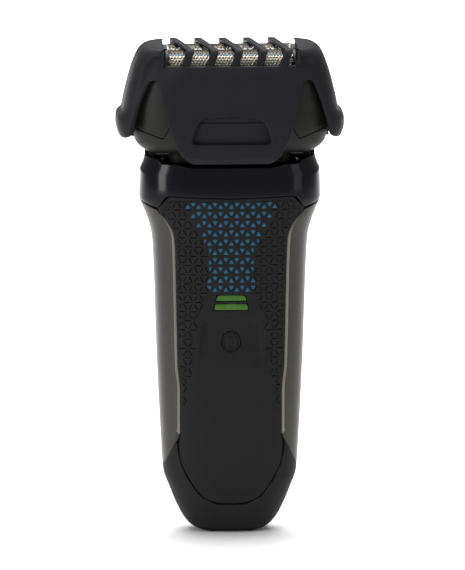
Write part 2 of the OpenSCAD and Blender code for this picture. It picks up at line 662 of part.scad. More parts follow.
// Closed ends beside the window: a roof and a wall, both inside the shell's outline
module comb_ends() {
    at = function (u, v) comb_at(u, mix(158.2, comb_top, v), 0.15);
    intersection() {
        loft(at, 8, 44);
        for (i = [-1, 1]) {
            box([i * 25.6 - 3.5, -16, 162.7], [i * 25.6 + 3.5, 16, comb_top]);
            box([i * (window_half + 0.5) - 0.5, -16, 158.2], [i * (window_half + 0.5) + 0.5, 16, comb_top]);
        }
    }
}
module comb() {
    color([0.12, 0.12, 0.13]) union() {
        comb_shell();
        comb_ends();
        for (k = [0:rib_count - 1]) comb_rib(rib_start + k * rib_pitch);
    }
}

// ---------- Rear trimmer ----------
module trimmer_bay() {
    color([0.13, 0.13, 0.14]) difference() {
        box([-bay_half - bay_wall, bay_y - bay_wall, bay_z[0] - bay_wall],
            [bay_half + bay_wall, 12.6, bay_z[1] + bay_wall]);
        box([-bay_half, bay_y, bay_z[0]], [bay_half, 20, bay_z[1]]);
        rod_x(hinge_r, -15, 15, hinge_y, hinge_z);
    }
}
module trimmer_pin() {
    color([0.8, 0.8, 0.82]) rod_x(hinge_r, -bay_half - bay_wall, bay_half + bay_wall, hinge_y, hinge_z);
}
module trimmer_arm() {
    color([0.1, 0.1, 0.11]) side_view(-arm_half, arm_half) difference() {
        union() {
            translate([hinge_y, hinge_z]) circle(1.1);
            translate([bay_y + 0.2, hinge_z]) square([14.4 - bay_y - 0.2, 20.5]);
            translate([hinge_y, hinge_z - 1.1]) square([14.4 - hinge_y, 2]);
        }
        translate([hinge_y, hinge_z]) circle(hinge_r + run_gap);
    }
}
module teeth(x, half, pitch, z0, z1, y0, y1, gap) {
    difference() {
        box([-half, y0, z0], [half, y1, z1]);
        for (k = [-x:x]) box([k * pitch - gap / 2, y0 - 1, z1 - 1.6], [k * pitch + gap / 2, y1 + 1, z1 + 1]);
    }
}
module trimmer_fixed_blade() {
    color([0.8, 0.8, 0.82]) teeth(9, 9.6, 1, 107.5, 111.2, 12.6, 13.4, 0.45);
}
module trimmer_moving_blade() {
    color([0.7, 0.7, 0.72]) teeth(8, 8.6, 1, 107.7, 110.9, 11.7, 12.5, 0.45);
}
module trimmer_switch() {
    color([0.12, 0.12, 0.13]) {
        difference() {
            translate([0, 15.5, 0]) front_view(0, 1.2) translate([0, 65]) rounded(4.6, 5, 1.5);
            for (k = [-2:2]) box([-3.4, 16.5, 65 + 1.6 * k - 0.3], [3.4, 18, 65 + 1.6 * k + 0.3]);
        }
        box([-1.8, 11, 61.5], [1.8, 15.5, 68.5]);
    }
}

front_shell();
rear_shell();
fascia();
grip_panel();
side_panel_left();
side_panel_right();
lower_bumper();
rear_cover();
base_cap();
charge_socket();
charge_pins();
inner_frame();
battery();
battery_contacts();
circuit_board();
tact_switch();
light_guide();
indicator_lenses();
motor_can();
motor_magnets();
neck_deck();
pivot_bracket();
bracket_gasket();
shaft_seal();
bracket_screws();
pivot_pins();
trimmer_bay();
trimmer_pin();
power_button();
motor_armature();
motor_shaft();
eccentric_cam();
head_chassis();
head_housing();
guide_rods();
drive_bridge();
drive_posts();
front_blade_carrier();
front_blades();
front_springs();
rear_blade_carrier();
rear_blades();
rear_springs();
release_button_left();
release_button_right();
foil_frame();
foil_deck();
intercept_guard();
intercept_blade();
front_foil();
front_foil_holder();
rear_foil();
rear_foil_holder();
comb();
trimmer_arm();
trimmer_fixed_blade();
trimmer_moving_blade();
trimmer_switch();
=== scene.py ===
"""Foil shaver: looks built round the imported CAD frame. Lengths are in mm until mesh_object()."""

import json
import math

import bmesh
import bpy
import numpy as np
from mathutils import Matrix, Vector, geometry, kdtree


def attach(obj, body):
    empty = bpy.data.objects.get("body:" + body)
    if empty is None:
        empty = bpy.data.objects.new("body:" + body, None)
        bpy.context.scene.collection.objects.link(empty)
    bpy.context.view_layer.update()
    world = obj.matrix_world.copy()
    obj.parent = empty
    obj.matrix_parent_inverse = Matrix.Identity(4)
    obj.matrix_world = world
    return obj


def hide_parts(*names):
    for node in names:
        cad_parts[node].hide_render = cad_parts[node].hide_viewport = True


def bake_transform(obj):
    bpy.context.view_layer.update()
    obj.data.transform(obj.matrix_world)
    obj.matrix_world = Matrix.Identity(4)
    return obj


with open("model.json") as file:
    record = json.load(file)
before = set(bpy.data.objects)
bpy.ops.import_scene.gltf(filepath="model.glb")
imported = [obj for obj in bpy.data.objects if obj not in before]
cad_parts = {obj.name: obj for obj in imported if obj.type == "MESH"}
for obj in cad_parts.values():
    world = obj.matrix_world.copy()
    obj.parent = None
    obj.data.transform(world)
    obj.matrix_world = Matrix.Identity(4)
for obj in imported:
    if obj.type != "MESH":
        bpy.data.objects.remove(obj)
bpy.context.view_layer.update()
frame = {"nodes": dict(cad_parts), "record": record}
MM = 0.001

# ---------------------------------------------------------------- outlines shared with the CAD

HANDLE_W = [(0, 8.6), (1.2, 12), (3.9, 15), (9.3, 18), (14.7, 20.2), (20.5, 22.2), (30, 22.9),
            (60, 24.4), (93, 25.6), (100, 26.1), (105.4, 27.4), (110.5, 29.4), (113.5, 30.5),
            (121.8, 30.2), (124.4, 29.3), (127.1, 28.3)]
HANDLE_FRONT = [(0, 6.5), (1.2, 8.6), (4, 10.3), (9, 11.8), (15, 12.9), (25, 13.6), (40, 14.1),
                (80, 15), (100, 15.6), (110, 16.3), (115, 16.5), (121, 16.1), (124.5, 15.6),
                (127.1, 15.2)]
HANDLE_REAR = [(0, 6.5), (1.2, 8.8), (4, 10.8), (9, 12.4), (15, 13.6), (40, 15), (80, 15.3),
               (100, 15.2), (112, 15.8), (121, 15.7), (127.1, 15.2)]
FRONT_N, REAR_N, HEAD_N, COMB_N = 2.8, 2.4, 3.4, 4.2
GRIP_EDGE = [(10.6, 4), (11.3, 7), (13.2, 9.9), (19.1, 14.1), (25.5, 17), (31.4, 17.5),
             (33.7, 17), (49.2, 17), (57.4, 17.8), (69.9, 18.1), (97.5, 18.7), (102, 19.2),
             (106.2, 21.2), (110.1, 24.6), (113, 22.3), (114.2, 21.5)]
BUMPER_EDGE = [(0, 10.2), (5.2, 10.4), (10.4, 13.2), (14.6, 19.1), (17.5, 25.5), (17.75, 32.8),
               (22.4, 22.4)]
FASCIA_EDGE = [(0, 114.32), (20.3, 114.95), (21.4, 114.5), (24.8, 110.6), (30, 112.2)]
COLLAR_TOP = [(0, 124.5), (14, 124.6), (18, 125.4), (23.2, 125.6), (24.4, 126.95), (30, 127.1)]
HEAD_W = [(129.2, 28.6), (130.4, 30.2), (132.5, 31.8), (138, 33), (147, 32), (152, 31), (157.6, 29.4)]
HEAD_D = [(129.2, 12.2), (130.4, 13.2), (133, 14.4), (138, 15.2), (147, 14.8), (152, 14.4), (157.6, 13.6)]
HEAD_FOOT, HEAD_TOP = 129.25, 157.55
SEAM_HALF = 0.14  # half of the gap between the housing and the cassette
HEAD_SEAM = [(0, 139.2), (19.3, 139.2), (23, 133.9), (32.7, 137.8), (34, 137.8)]
COMB_W = [(125.8, 32.5), (132.8, 35), (133.8, 36.6), (135.2, 37.4), (138.1, 38.1), (140.6, 37.9),
          (141.4, 37.4), (142, 36.5), (143, 36.1), (147.4, 35.2), (155.5, 33.1), (159.6, 31.6),
          (161.6, 30.6), (163, 29.3), (163.8, 28), (164.1, 26.9)]
COMB_D = [(125.8, 18.1), (135, 18.1), (145, 17.4), (155, 16.1), (160, 14.8), (162, 14.4), (163.3, 13.9),
          (163.9, 13.3), (164.1, 12.7)]
SKIN_T, SKIN_FOOT = 1.45, 1.45  # thickness of the handle's skins, and the height where they start
SEAM_ANGLE = -1.2  # where the front and rear skins of the foot meet
PANEL_TIP_Z, PANEL_FOOT, SIDE_WRAP = 112, (22.2, 22.4), 12


def curve(points, z):
    """The same overshoot-free curve as the CAD draws."""
    x = [p[0] for p in points]
    y = [p[1] for p in points]
    i = max(0, min(len(x) - 2, int(np.searchsorted(x, z, side="right")) - 1))
    rise = [(y[k + 1] - y[k]) / (x[k + 1] - x[k]) for k in range(len(x) - 1)]

    def tangent(k):
        if k <= 0:
            return rise[0]
        if k >= len(x) - 1:
            return rise[-1]
        a, b = rise[k - 1], rise[k]
        return 0 if a * b <= 0 else 2 * a * b / (a + b)

    h = x[i + 1] - x[i]
    s = max(0.0, min(1.0, (z - x[i]) / h))
    return (y[i] * (2 * s**3 - 3 * s**2 + 1) + tangent(i) * h * (s**3 - 2 * s**2 + s)
            + y[i + 1] * (3 * s**2 - 2 * s**3) + tangent(i + 1) * h * (s**3 - s**2))


def straight(points, x):
    return float(np.interp(x, [p[0] for p in points], [p[1] for p in points]))


def power(v, e):
    return math.copysign(abs(v) ** e, v)


def section(w, d, n, a):
    """Point of a rounded oblong with half sizes w and d at the angle a, squarer for a larger n."""
    a = math.radians(a)
    return w * power(math.cos(a), 2 / n), d * power(math.sin(a), 2 / n)


def surface(widths, front, rear, front_n, rear_n):
    """Function that gives the point of a body's skin at an angle and height, moved in by inset."""
    def at(a, z, inset=0.0):
        depths, n = (front, front_n) if a < 0 else (rear, rear_n)
        x, y = section(curve(widths, z) - inset, curve(depths, z) - inset, n, a)
        return x, y, z
    return at


handle_at = surface(HANDLE_W, HANDLE_FRONT, HANDLE_REAR, FRONT_N, REAR_N)
head_at = surface(HEAD_W, HEAD_D, HEAD_D, HEAD_N, HEAD_N)
comb_at = surface(COMB_W, COMB_D, COMB_D, COMB_N, COMB_N)


class Wrap:
    """A ring surface unrolled: t is the distance round it in mm, 0 at the front's middle."""

    def __init__(self, at, z, centre=-90):
        self.at = at
        self.angles = np.linspace(centre - 180, centre + 180, 1441)
        fold = lambda a: (a + 180) % 360 - 180
        p = np.array([at(fold(a), z)[:2] for a in self.angles])
        step = np.hypot(*np.diff(p, axis=0).T)
        self.lengths = np.concatenate([[0], np.cumsum(step)])
        self.lengths -= np.interp(centre, self.angles, self.lengths)
        self.half = self.lengths[-1]

    def angle(self, t):
        return (float(np.interp(t, self.lengths, self.angles)) + 180) % 360 - 180

    def t_of_angle(self, a):
        while a < self.angles[0]:
            a += 360
        while a > self.angles[-1]:
            a -= 360
        return float(np.interp(a, self.angles, self.lengths))

    def point(self, t, z, inset=0.0):
        return self.at(self.angle(t), z, inset)


# ---------------------------------------------------------------- mesh helpers


def new_object(name, data):
    obj = bpy.data.objects.new(name, data)
    bpy.context.scene.collection.objects.link(obj)
    return obj


def mesh_object(name, verts, faces, finishes, face_mats=None, sharp=38):
    """Makes a smooth-shaded object from points in mm and the name of a finish, or a list of names."""
    mesh = bpy.data.meshes.new(name)
    mesh.from_pydata([tuple(c * MM for c in v) for v in verts], [], faces)
    for finish in [finishes] if isinstance(finishes, str) else finishes:
        mesh.materials.append(MAT[finish])
    if face_mats is not None:
        mesh.polygons.foreach_set("material_index", face_mats)
    mesh.validate()
    mesh.update()
    mesh.polygons.foreach_set("use_smooth", [True] * len(mesh.polygons))
    mesh.set_sharp_from_angle(angle=math.radians(sharp))
    return new_object(name, mesh)


def recalc(obj):
    """Drops loose points and turns the faces outwards."""
    bm = bmesh.new()
    bm.from_mesh(obj.data)
    bmesh.ops.delete(bm, geom=[v for v in bm.verts if not v.link_faces], context="VERTS")
    bmesh.ops.recalc_face_normals(bm, faces=bm.faces)
    bm.to_mesh(obj.data)
    bm.free()
    return obj


def ring_faces(rings, n, closed=False, base=0):
    """Faces between rings of n points. Closed joins the last ring to the first; else both are capped."""
    faces = []
    for i in range(rings if closed else rings - 1):
        near, far = base + i * n, base + (i + 1) % rings * n
        faces += [(near + k, near + (k + 1) % n, far + (k + 1) % n, far + k) for k in range(n)]
    if not closed:
        faces.append(tuple(base + k for k in reversed(range(n))))
        faces.append(tuple(base + (rings - 1) * n + k for k in range(n)))
    return faces


def swept(name, rings, finish, closed=True, sharp=38):
    """Solid of equal rings of points."""
    verts = [p for ring in rings for p in ring]
    faces = ring_faces(len(rings), len(rings[0]), closed)
    return recalc(mesh_object(name, verts, faces, finish, sharp=sharp))


def place(obj, body, slot, *nodes):
    """Makes the object ride on a body, in place of CAD nodes. The slot argument is not used."""
    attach(obj, body)
    if nodes:
        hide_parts(*nodes)


def edge_steps(r):
    """Distances from an edge and the depth of its rounding there."""
    return [(r * (1 - math.cos(q)), r * (1 - math.sin(q))) for q in (0, 0.42, 0.85, 1.2, math.pi / 2)]


def spread(length, count, r):
    """Distances along a line with its rounded ends resolved, and the rounding's depth at each."""
    start = edge_steps(r)
    stop = [(length - d, e) for d, e in reversed(start)]
    lo, hi = start[-1][0], stop[0][0]
    return start + [(lo + (hi - lo) * k / count, 0) for k in range(1, count)] + stop


def grid_solid(name, outer, inner, finish, closed=False):
    """Closed solid between two equal grids of points, rows by columns."""
    rings = outer + inner[::-1]
    n, cols = len(rings), len(outer[0])

    def at(i, k):
        return (i % n) * cols + k % cols

    faces = [(at(i, k), at(i, k + 1), at(i + 1, k + 1), at(i + 1, k))
             for i in range(n) for k in range(cols if closed else cols - 1)]
    if not closed:
        for i in range(n // 2 - 1):
            cap = (at(i, 0), at(i + 1, 0), at(n - 2 - i, 0), at(n - 1 - i, 0))
            faces += [cap, tuple(c + cols - 1 for c in reversed(cap))]
    return recalc(mesh_object(name, [p for ring in rings for p in ring], faces, finish))


def ring_skin(name, wrap, low, high, rows, cols, finish, r, thick, span=None):
    """Skin whose lower and upper edges are functions of the angle. It closes on itself without span."""
    if span is None:
        stops = [(-wrap.half + 2 * wrap.half * k / cols, 0) for k in range(cols)]
    else:
        stops = [(d - span, e) for d, e in spread(2 * span, cols, r)]
    outer, inner = [], []
    for t, side in stops:
        a = wrap.angle(t)
        z = low(a)
        steps = spread(high(a) - z, rows, r)
        outer.append([wrap.at(a, z + d, side + e - side * e / r) for d, e in steps])
        inner.append([wrap.at(a, z + d, thick) for d, _ in steps])
    turn = lambda columns: [list(row) for row in zip(*columns)]
    return grid_solid(name, turn(outer), turn(inner), finish, closed=span is None)


def inside(points, loops):
    """Which points lie in the first loop and outside the others."""
    result = None
    points = np.asarray(points)
    for loop in loops:
        poly = np.asarray(loop)
        x, y = points[:, 0][:, None], points[:, 1][:, None]
        x0, y0 = poly[:, 0], poly[:, 1]
        x1, y1 = np.roll(x0, -1), np.roll(y0, -1)
        cross = (y0 > y) != (y1 > y)
        with np.errstate(divide="ignore", invalid="ignore"):
            hit = cross & (x < (x1 - x0) * (y - y0) / (y1 - y0) + x0)
        within = hit.sum(axis=1) % 2 == 1
        result = within if result is None else result & ~within
    return result


def resample(line, step, closed=True):
    """Outline with points no further apart than step; the given corners stay."""
    out = []
    for a, b in zip(line, line[1:] + line[:1] if closed else line[1:]):
        n = max(1, int(math.ceil(math.dist(a, b) / step)))
        out += [(a[0] + (b[0] - a[0]) * s / n, a[1] + (b[1] - a[1]) * s / n) for s in range(n)]
    return out if closed else out + [line[-1]]


def walk(points, unroll, step=0.8):
    """Points of a straight-sided path, unrolled."""
    out = []
    for (x0, z0), (x1, z1) in zip(points, points[1:]):
        n = max(1, int(math.dist((x0, z0), (x1, z1)) / step))
        for k in range(n):
            x, z = x0 + (x1 - x0) * k / n, z0 + (z1 - z0) * k / n
            out.append((unroll(x, z), z))
    return out + [(unroll(*points[-1]), points[-1][1])]


def flipped(line):
    return [(-x, z) for x, z in line[::-1]]


def mirrored(right):
    """Closed outline from its right half, given upwards."""
    return right + [(x, z) for x, z in flipped(right) if abs(x) > 1e-6]


def box(x0, x1, z0, z1):
    return [(x0, z0), (x1, z0), (x1, z1), (x0, z1)]


def circle(r, z, steps):
    """Round outline about a point of the middle line."""
    return [(r * math.cos(a), z + r * math.sin(a)) for a in np.linspace(0, 2 * math.pi, steps, False)]


def v_groove(line, half, depth):
    """Groove along a line across the part: its rims and its floor, as lines for plate()."""
    return [([(x, z + q) for x, z in line], False, d) for q, d in ((-half, 0.0), (0, depth), (half, 0.0))]


def doubled_area(loop):
    p = np.asarray(loop)
    return np.sum(p[:, 0] * np.roll(p[:, 1], -1) - np.roll(p[:, 0], -1) * p[:, 1])


def offset(loop, distance, inward):
    """The outline moved into the material."""
    p = np.asarray(loop)
    e = np.roll(p, -1, axis=0) - p
    e /= np.maximum(np.hypot(e[:, 0], e[:, 1]), 1e-9)[:, None]
    n = np.stack([-e[:, 1], e[:, 0]], axis=1)
    m = n + np.roll(n, 1, axis=0)
    m /= np.maximum(np.hypot(m[:, 0], m[:, 1]), 0.5)[:, None]
    side = 1 if (doubled_area(loop) > 0) == inward else -1
    return p + m * distance * side


def plate(name, point, loops, finishes, thick=SKIN_T, r=0.22, step=1.0, edge_step=0.6, field=None,
          marks=(), kind=None, sharp=50, back=None, flush=None):
    """Skin over a flat outline with holes. point(t, z, inset) maps it, and back() the inner face;
    marks are (points, closed, depth) lines drawn in it; field(t, z) is an extra depth; kind(t, z)
    gives a face's material index; the edge isn't rounded where flush(t, z) is true."""
    row_pitch, clearance = 0.87, 0.55  # of the inner points, as parts of their step
    loops = [resample(loop, edge_step) for loop in loops]

    def build(with_detail):
        pts, depths, edges = [], [], []

        def add(line, closed, depth):
            first = len(pts)
            pts.extend((float(x), float(z)) for x, z in line)
            depths.extend([depth] * len(line) if np.isscalar(depth) else depth)
            n = len(line)
            edges.extend((first + k, first + (k + 1) % n) for k in range(n if closed else n - 1))
            return first

        firsts = []
        for k, loop in enumerate(loops):
            for d, e in edge_steps(r) if with_detail else [(0, thick)]:
                line = offset(loop, d, k == 0) if d else loop
                rounded = with_detail and flush
                first = add(line, True, [0.0 if flush(*q) else e for q in loop] if rounded else e)
                if d == 0:
                    firsts.append(first)
        if with_detail:
            for line, closed, depth in marks:
                add(line, closed, depth)
        taken = kdtree.KDTree(len(pts))
        for k, q in enumerate(pts):
            taken.insert((q[0], q[1], 0), k)
        taken.balance()
        outline = np.asarray(loops[0])
        gap = step if with_detail else 2 * step
        xs = np.arange(outline[:, 0].min(), outline[:, 0].max(), gap)
        zs = np.arange(outline[:, 1].min(), outline[:, 1].max(), gap * row_pitch)
        grid = np.array([(x + (gap / 2 if i % 2 else 0), z) for i, z in enumerate(zs) for x in xs])
        grid = grid[inside(grid, loops)]
        for x, z in grid:
            if taken.find((x, z, 0))[2] > clearance * gap:
                pts.append((float(x), float(z)))
                depths.append(0.0 if with_detail else thick)
        out = geometry.delaunay_2d_cdt([Vector(q) for q in pts], edges, [], 0, 1e-6)
        verts, faces, origin = out[0], out[2], out[3]
        index = {c: k for k, came in enumerate(origin) for c in came}
        depth = [max(depths[c] for c in came) if came else 0.0 for came in origin]
        flat = np.array([(v[0], v[1]) for v in verts])
        tri = np.array([f for f in faces if len(f) == 3])
        keep = inside(flat[tri].mean(axis=1), loops)
        return flat, depth, tri[keep], [[index[first + k] for k in range(len(loop))]
                                        for first, loop in zip(firsts, loops)]

    flat, depth, tri, rims = build(True)
    verts = [point(t, z, e + (field(t, z) if field else 0)) for (t, z), e in zip(flat, depth)]
    faces = [tuple(int(c) for c in f) for f in tri]
    face_mats = [kind(*c) for c in flat[tri].mean(axis=1)] if kind else [0] * len(faces)
    flat_back, _, tri_back, rims_back = build(False)
    base = len(verts)
    verts += [(back or point)(t, z, thick) for t, z in flat_back]
    faces += [tuple(base + int(c) for c in reversed(f)) for f in tri_back]
    for loop, near, far in zip(loops, rims, rims_back):
        ccw = (doubled_area(loop) > 0) == (loop is loops[0])
        n = len(loop)
        for k in range(n):
            a, b = near[k], near[(k + 1) % n]
            c, d = base + far[(k + 1) % n], base + far[k]
            faces.append((b, a, d, c) if ccw else (a, b, c, d))
    face_mats += [0] * (len(faces) - len(face_mats))
    return recalc(mesh_object(name, verts, faces, finishes, face_mats, sharp))


def bevelled(obj, width, segments=2):
    m = obj.modifiers.new("edge", "BEVEL")
    m.width = width * MM
    m.segments = segments
    m.limit_method = "ANGLE"
    m.angle_limit = math.radians(35)
    m.harden_normals = False
    return obj


def rounded_rect(x, z, r, cz=0.0, steps=6):
    """Outline with half sizes x and z and corner radius r, counter-clockwise round (0, cz)."""
    out = []
    for q, (sx, sz) in enumerate([(1, -1), (1, 1), (-1, 1), (-1, -1)]):
        for k in range(steps + 1):
            a = math.radians(-90 + 90 * q + 90 * k / steps)
            out.append((sx * (x - r) + r * math.cos(a), cz + sz * (z - r) + r * math.sin(a)))
    return out


def prism(name, outline, lo, hi, axis, finish, bevel=0.0):
    """Outline swept along an axis: 'y' takes (x, z) points, 'x' takes (y, z), 'z' takes (x, y)."""
    order = {"y": lambda p, q: (p[0], q, p[1]), "x": lambda p, q: (q, p[0], p[1]),
             "z": lambda p, q: (p[0], p[1], q)}[axis]
    obj = swept(name, [[order(p, q) for p in outline] for q in (lo, hi)], finish, closed=False)
    return bevelled(obj, bevel) if bevel else obj


def smooth(lo, hi, v):
    s = max(0.0, min(1.0, (v - lo) / (hi - lo)))
    return s * s * (3 - 2 * s)


def front_angle(x, z, widths=HANDLE_W, n=FRONT_N):
    """Angle of the point of the front surface at x."""
    a = math.degrees(math.acos(min(1.0, (abs(x) / curve(widths, z)) ** (n / 2))))
    return -a if x >= 0 else a - 180


# ---------------------------------------------------------------- materials

MAT = {}


def material(name, colour, rough, grain, metal=0.0, vary=0.12, spread_r=0.08, cloud=60, coat=0.0,
             coat_rough=0.1, specular=0.5, edge=1.0, stretch=(1, 1, 1), flake=0.0):
    """Procedural finish kept in MAT: cloudy colour, uneven roughness, a bump grain, optional flake."""
    MAT[name] = bpy.data.materials.new(name)
    MAT[name].use_nodes = True
    nodes, links = MAT[name].node_tree.nodes, MAT[name].node_tree.links

    def node(kind, source=None, into="Vector", **values):
        made = nodes.new("ShaderNode" + kind)
        if kind == "Mix":
            made.data_type = "RGBA"
        for key, value in values.items():
            made.inputs[key.replace("_", " ")].default_value = value
        if source:
            links.new(source, made.inputs[into])
        return made

    tint = lambda change: (*[c * (1 + change) for c in colour], 1)
    at = node("TexCoord").outputs["Object"]
    at = node("Mapping", at, Scale=stretch).outputs["Vector"]
    broad = node("TexNoise", at, Scale=cloud, Detail=3).outputs["Fac"]
    fine = node("TexNoise", at, Scale=grain[0], Detail=2).outputs["Fac"]
    result = node("Mix", broad, "Factor", A=tint(-vary), B=tint(vary)).outputs["Result"]
    if flake:
        ramp = node("ValToRGB", fine, "Fac")
        ramp.color_ramp.elements[0].position = 0.45
        ramp.color_ramp.elements[1].position = 0.75
        lighter = node("Mix", ramp.outputs["Color"], "Factor", B=tint(flake))
        links.new(result, lighter.inputs["A"])
        result = lighter.outputs["Result"]
    level = node("MapRange", fine, "Value", To_Min=max(0.02, rough - spread_r),
                 To_Max=min(1.0, rough + spread_r))
    bump = node("Bump", fine, "Height", Strength=grain[1], Distance=0.0001)
    finish = nodes["Principled BSDF"].inputs
    links.new(result, finish["Base Color"])
    links.new(level.outputs["Result"], finish["Roughness"])
    links.new(bump.outputs["Normal"], finish["Normal"])
    for key, value in (("Metallic", metal), ("Specular IOR Level", specular), ("Coat Weight", coat),
                       ("Coat Roughness", coat_rough), ("Specular Tint", (edge, edge, edge, 1))):
        finish[key].default_value = value


material("soft_touch", (0.0085, 0.0085, 0.009), 0.6, grain=(2600, 0.2), specular=0.16)
material("grip_rubber", (0.0085, 0.0085, 0.009), 0.62, grain=(2600, 0.22), specular=0.15)
material("gloss_black", (0.0025, 0.0025, 0.0045), 0.16, grain=(300, 0.01), spread_r=0.02,
         coat=0.1, coat_rough=0.05, specular=0.15)
material("graphite", (0.04, 0.0375, 0.034), 0.42, metal=0.7, grain=(3800, 0.3), flake=0.5)
# painted highlight: lighter metal for the side panels' front bevel, standing in for the light it catches
material("graphite_painted_highlight", (0.19, 0.18, 0.16), 0.4, metal=0.85, grain=(3800, 0.25), flake=0.2)
material("comb_black", (0.0105, 0.0105, 0.0125), 0.52, grain=(3000, 0.16), specular=0.15)
material("head_grey", (0.0115, 0.011, 0.0098), 0.5, grain=(2800, 0.16), specular=0.22)
material("inner_black", (0.012, 0.012, 0.013), 0.5, grain=(1800, 0.15))
material("nylon", (0.6, 0.58, 0.52), 0.45, grain=(1500, 0.1), vary=0.05)
material("steel", (0.27, 0.27, 0.28), 0.32, metal=1.0, edge=0.3, grain=(900, 0.15), stretch=(1, 1, 12))
material("foil", (0.6, 0.54, 0.44), 0.22, metal=1.0, grain=(2500, 0.15), vary=0.08, edge=0.1)
# painted dark reflection: the foil's crown is coloured darker for the dark surroundings it reflects
material("foil_crown_painted_dark_reflection", (0.12, 0.11, 0.095), 0.3, metal=1.0, grain=(2500, 0.15), edge=0.1)
material("cutter_blue", (0.01, 0.16, 0.3), 0.4, grain=(1500, 0.1))
material("mark_blue", (0.01, 0.085, 0.155), 0.55, grain=(2500, 0.2), vary=0.15, cloud=250,
         specular=0.2)
material("lens_green", (0.035, 0.11, 0.006), 0.26, grain=(600, 0.05), specular=0.35,
         vary=0.2, cloud=300)
material("light_guide", (0.7, 0.75, 0.7), 0.2, grain=(600, 0.05))
material("cell_wrap", (0.02, 0.02, 0.024), 0.35, grain=(800, 0.05))
material("board", (0.006, 0.03, 0.014), 0.4, grain=(1500, 0.1))
material("contact", (0.75, 0.55, 0.25), 0.25, metal=1.0, grain=(1500, 0.1))
material("magnet", (0.02, 0.02, 0.022), 0.6, grain=(1500, 0.3))
material("windings", (0.35, 0.12, 0.04), 0.3, metal=0.8, grain=(700, 0.4), stretch=(1, 1, 8))
material("seal_rubber", (0.02, 0.01, 0.01), 0.7, grain=(1800, 0.2))
for part in frame["record"]["subparts"]:
    node = frame["nodes"][part["node"]]
    node.data.materials.clear()
    node.data.materials.append(MAT[part["material_slot"]])

# ---------------------------------------------------------------- handle skins

grip_wrap = Wrap(handle_at, 80)
head_wrap = Wrap(head_at, 140)
comb_wrap = Wrap(comb_at, 145)


def front_t(x, z):
    """Unrolled place on the handle of the front point at x, z, right of the middle."""
    return grip_wrap.t_of_angle(front_angle(x, z))


LATTICE = 3.62  # side of the lattice's triangles
ROW = LATTICE * math.sqrt(3) / 2
ROW_TOP = 113.57
MARK_ROWS = 10
MARK_SIZE = 0.8
BAR_Z, BUTTON_Z, BUTTON_R = 76.5, 65.7, 3.3
GRIP_TOP = [(0, 114.2), (20.4, 114.8)]
THUMB_TOP, THUMB_BOW, THUMB_SLOPE, THUMB_DEPTH = (73.2, 75.4), 0.02, 1.3, 1.15
GROOVE_LOW, GROOVE_HIGH = 40.5, 113


def mark_half(row):
    """Half width of the field of blue marks in one of its rows."""
    return straight([(0, 15.2), (1, 13.6), (4, 8.9), (5, 7.3), (7, 7.3), (8, 8.1), (9, 8.1)], row)


def plain_half(z):
    """Half width of the smooth middle, where the grooves stop."""
    return straight([(40.5, 16.6), (44.8, 15.6), (52.7, 14.1), (56.9, 13.3), (62.9, 12.4),
                     (68.9, 11.8), (73.8, 11.2), (77.4, 10), (80.4, 8.3), (83.5, 7.9), (87.1, 7.6),
                     (93.1, 8.3), (97.4, 9.2), (101.6, 10.7), (113.7, 15.6)], z)


def thumb_half(z):
    """Half width of the thumb recess."""
    return straight([(40, 12.5), (60, 11.4), (66, 10.9), (71, 10.2), (73.4, 9), (75, 6.8)], z)


def thumb_rows():
    """Lines along the recess's edge, so that its slope has enough rows."""
    rows = []
    for level in (THUMB_TOP[0], 73.7, 74.1, 74.6, 75.0, THUMB_TOP[1]):
        line = [(t, level - THUMB_BOW * t * t) for t in np.linspace(-6.2, 6.2, 16)]
        rows.append((line, False, 0.0))
    for inward in (0.0, 0.35, 0.7, 1.0, THUMB_SLOPE):
        zs = np.linspace(57, 71.6 if inward < 0.2 else 72.2, 16)
        rows += [([(turn * (thumb_half(z) - inward), z) for z in zs], False, 0.0) for turn in (1, -1)]
    return rows


def thumb_depth(t, z):
    """Depth of the thumb recess round the power button."""
    half = thumb_half(z)
    across = 1 - smooth(half - THUMB_SLOPE, half, abs(t))
    up = 1 - smooth(*THUMB_TOP, z + THUMB_BOW * t * t)
    return THUMB_DEPTH * across * up * smooth(54, 69, z)


def between(a, b, s):
    """Point at the part s of the way from a to b."""
    return a[0] + (b[0] - a[0]) * s, a[1] + (b[1] - a[1]) * s


def grooves():
    """Segments of the triangular lattice outside the blue marks, as pairs of points."""
    ends, margin, shortest = (0.17, 0.83), 0.75, 0.7
    out = []
    rows = int((ROW_TOP - 40) / ROW) + 1
    for k in range(rows + 1):
        z = ROW_TOP - k * ROW
        for c in range(-7, 8):
            x = c * LATTICE + (k % 2) * LATTICE / 2
            for dx, dz in ((LATTICE, 0), (LATTICE / 2, -ROW), (-LATTICE / 2, -ROW)):
                a, b = (x, z), (x + dx, z + dz)
                mid_x, mid_z = x + dx / 2, z + dz / 2
                if abs(mid_x) < plain_half(mid_z) or not GROOVE_LOW <= mid_z <= GROOVE_HIGH:
                    continue
                edge = curve(GRIP_EDGE, min(110, mid_z)) - margin
                cut = sorted((between(a, b, s) for s in ends), key=lambda p: abs(p[0]))
                near, far = abs(cut[0][0]), abs(cut[1][0])
                if far > edge and near > edge - shortest:
                    continue
                if far > edge:
                    cut[1] = between(*cut, (edge - near) / (far - near))
                out.append(cut)
    return out


def flat_t(x, z):
    """Unrolled place on the handle of the front point at x, z, on either side."""
    return math.copysign(front_t(abs(x), z), x)


def groove_marks(a, b):
    """A V groove with pointed ends, as lines for plate()."""
    half, depth = 0.22, 0.4
    dx, dz = b[0] - a[0], b[1] - a[1]
    n = math.hypot(dx, dz)
    ux, uz = dx / n, dz / n
    at = lambda s, q: (a[0] + ux * s - uz * q, a[1] + uz * s + ux * q)
    rim = [at(0, 0), at(half, -half), at(n - half, -half), at(n, 0), at(n - half, half), at(half, half)]
    spine = [at(half * 0.8, 0), at(n - half * 0.8, 0)]
    unroll = lambda line: [(flat_t(x, z), z) for x, z in line]
    return [(unroll(rim), True, 0.0), (unroll(spine), False, depth)]


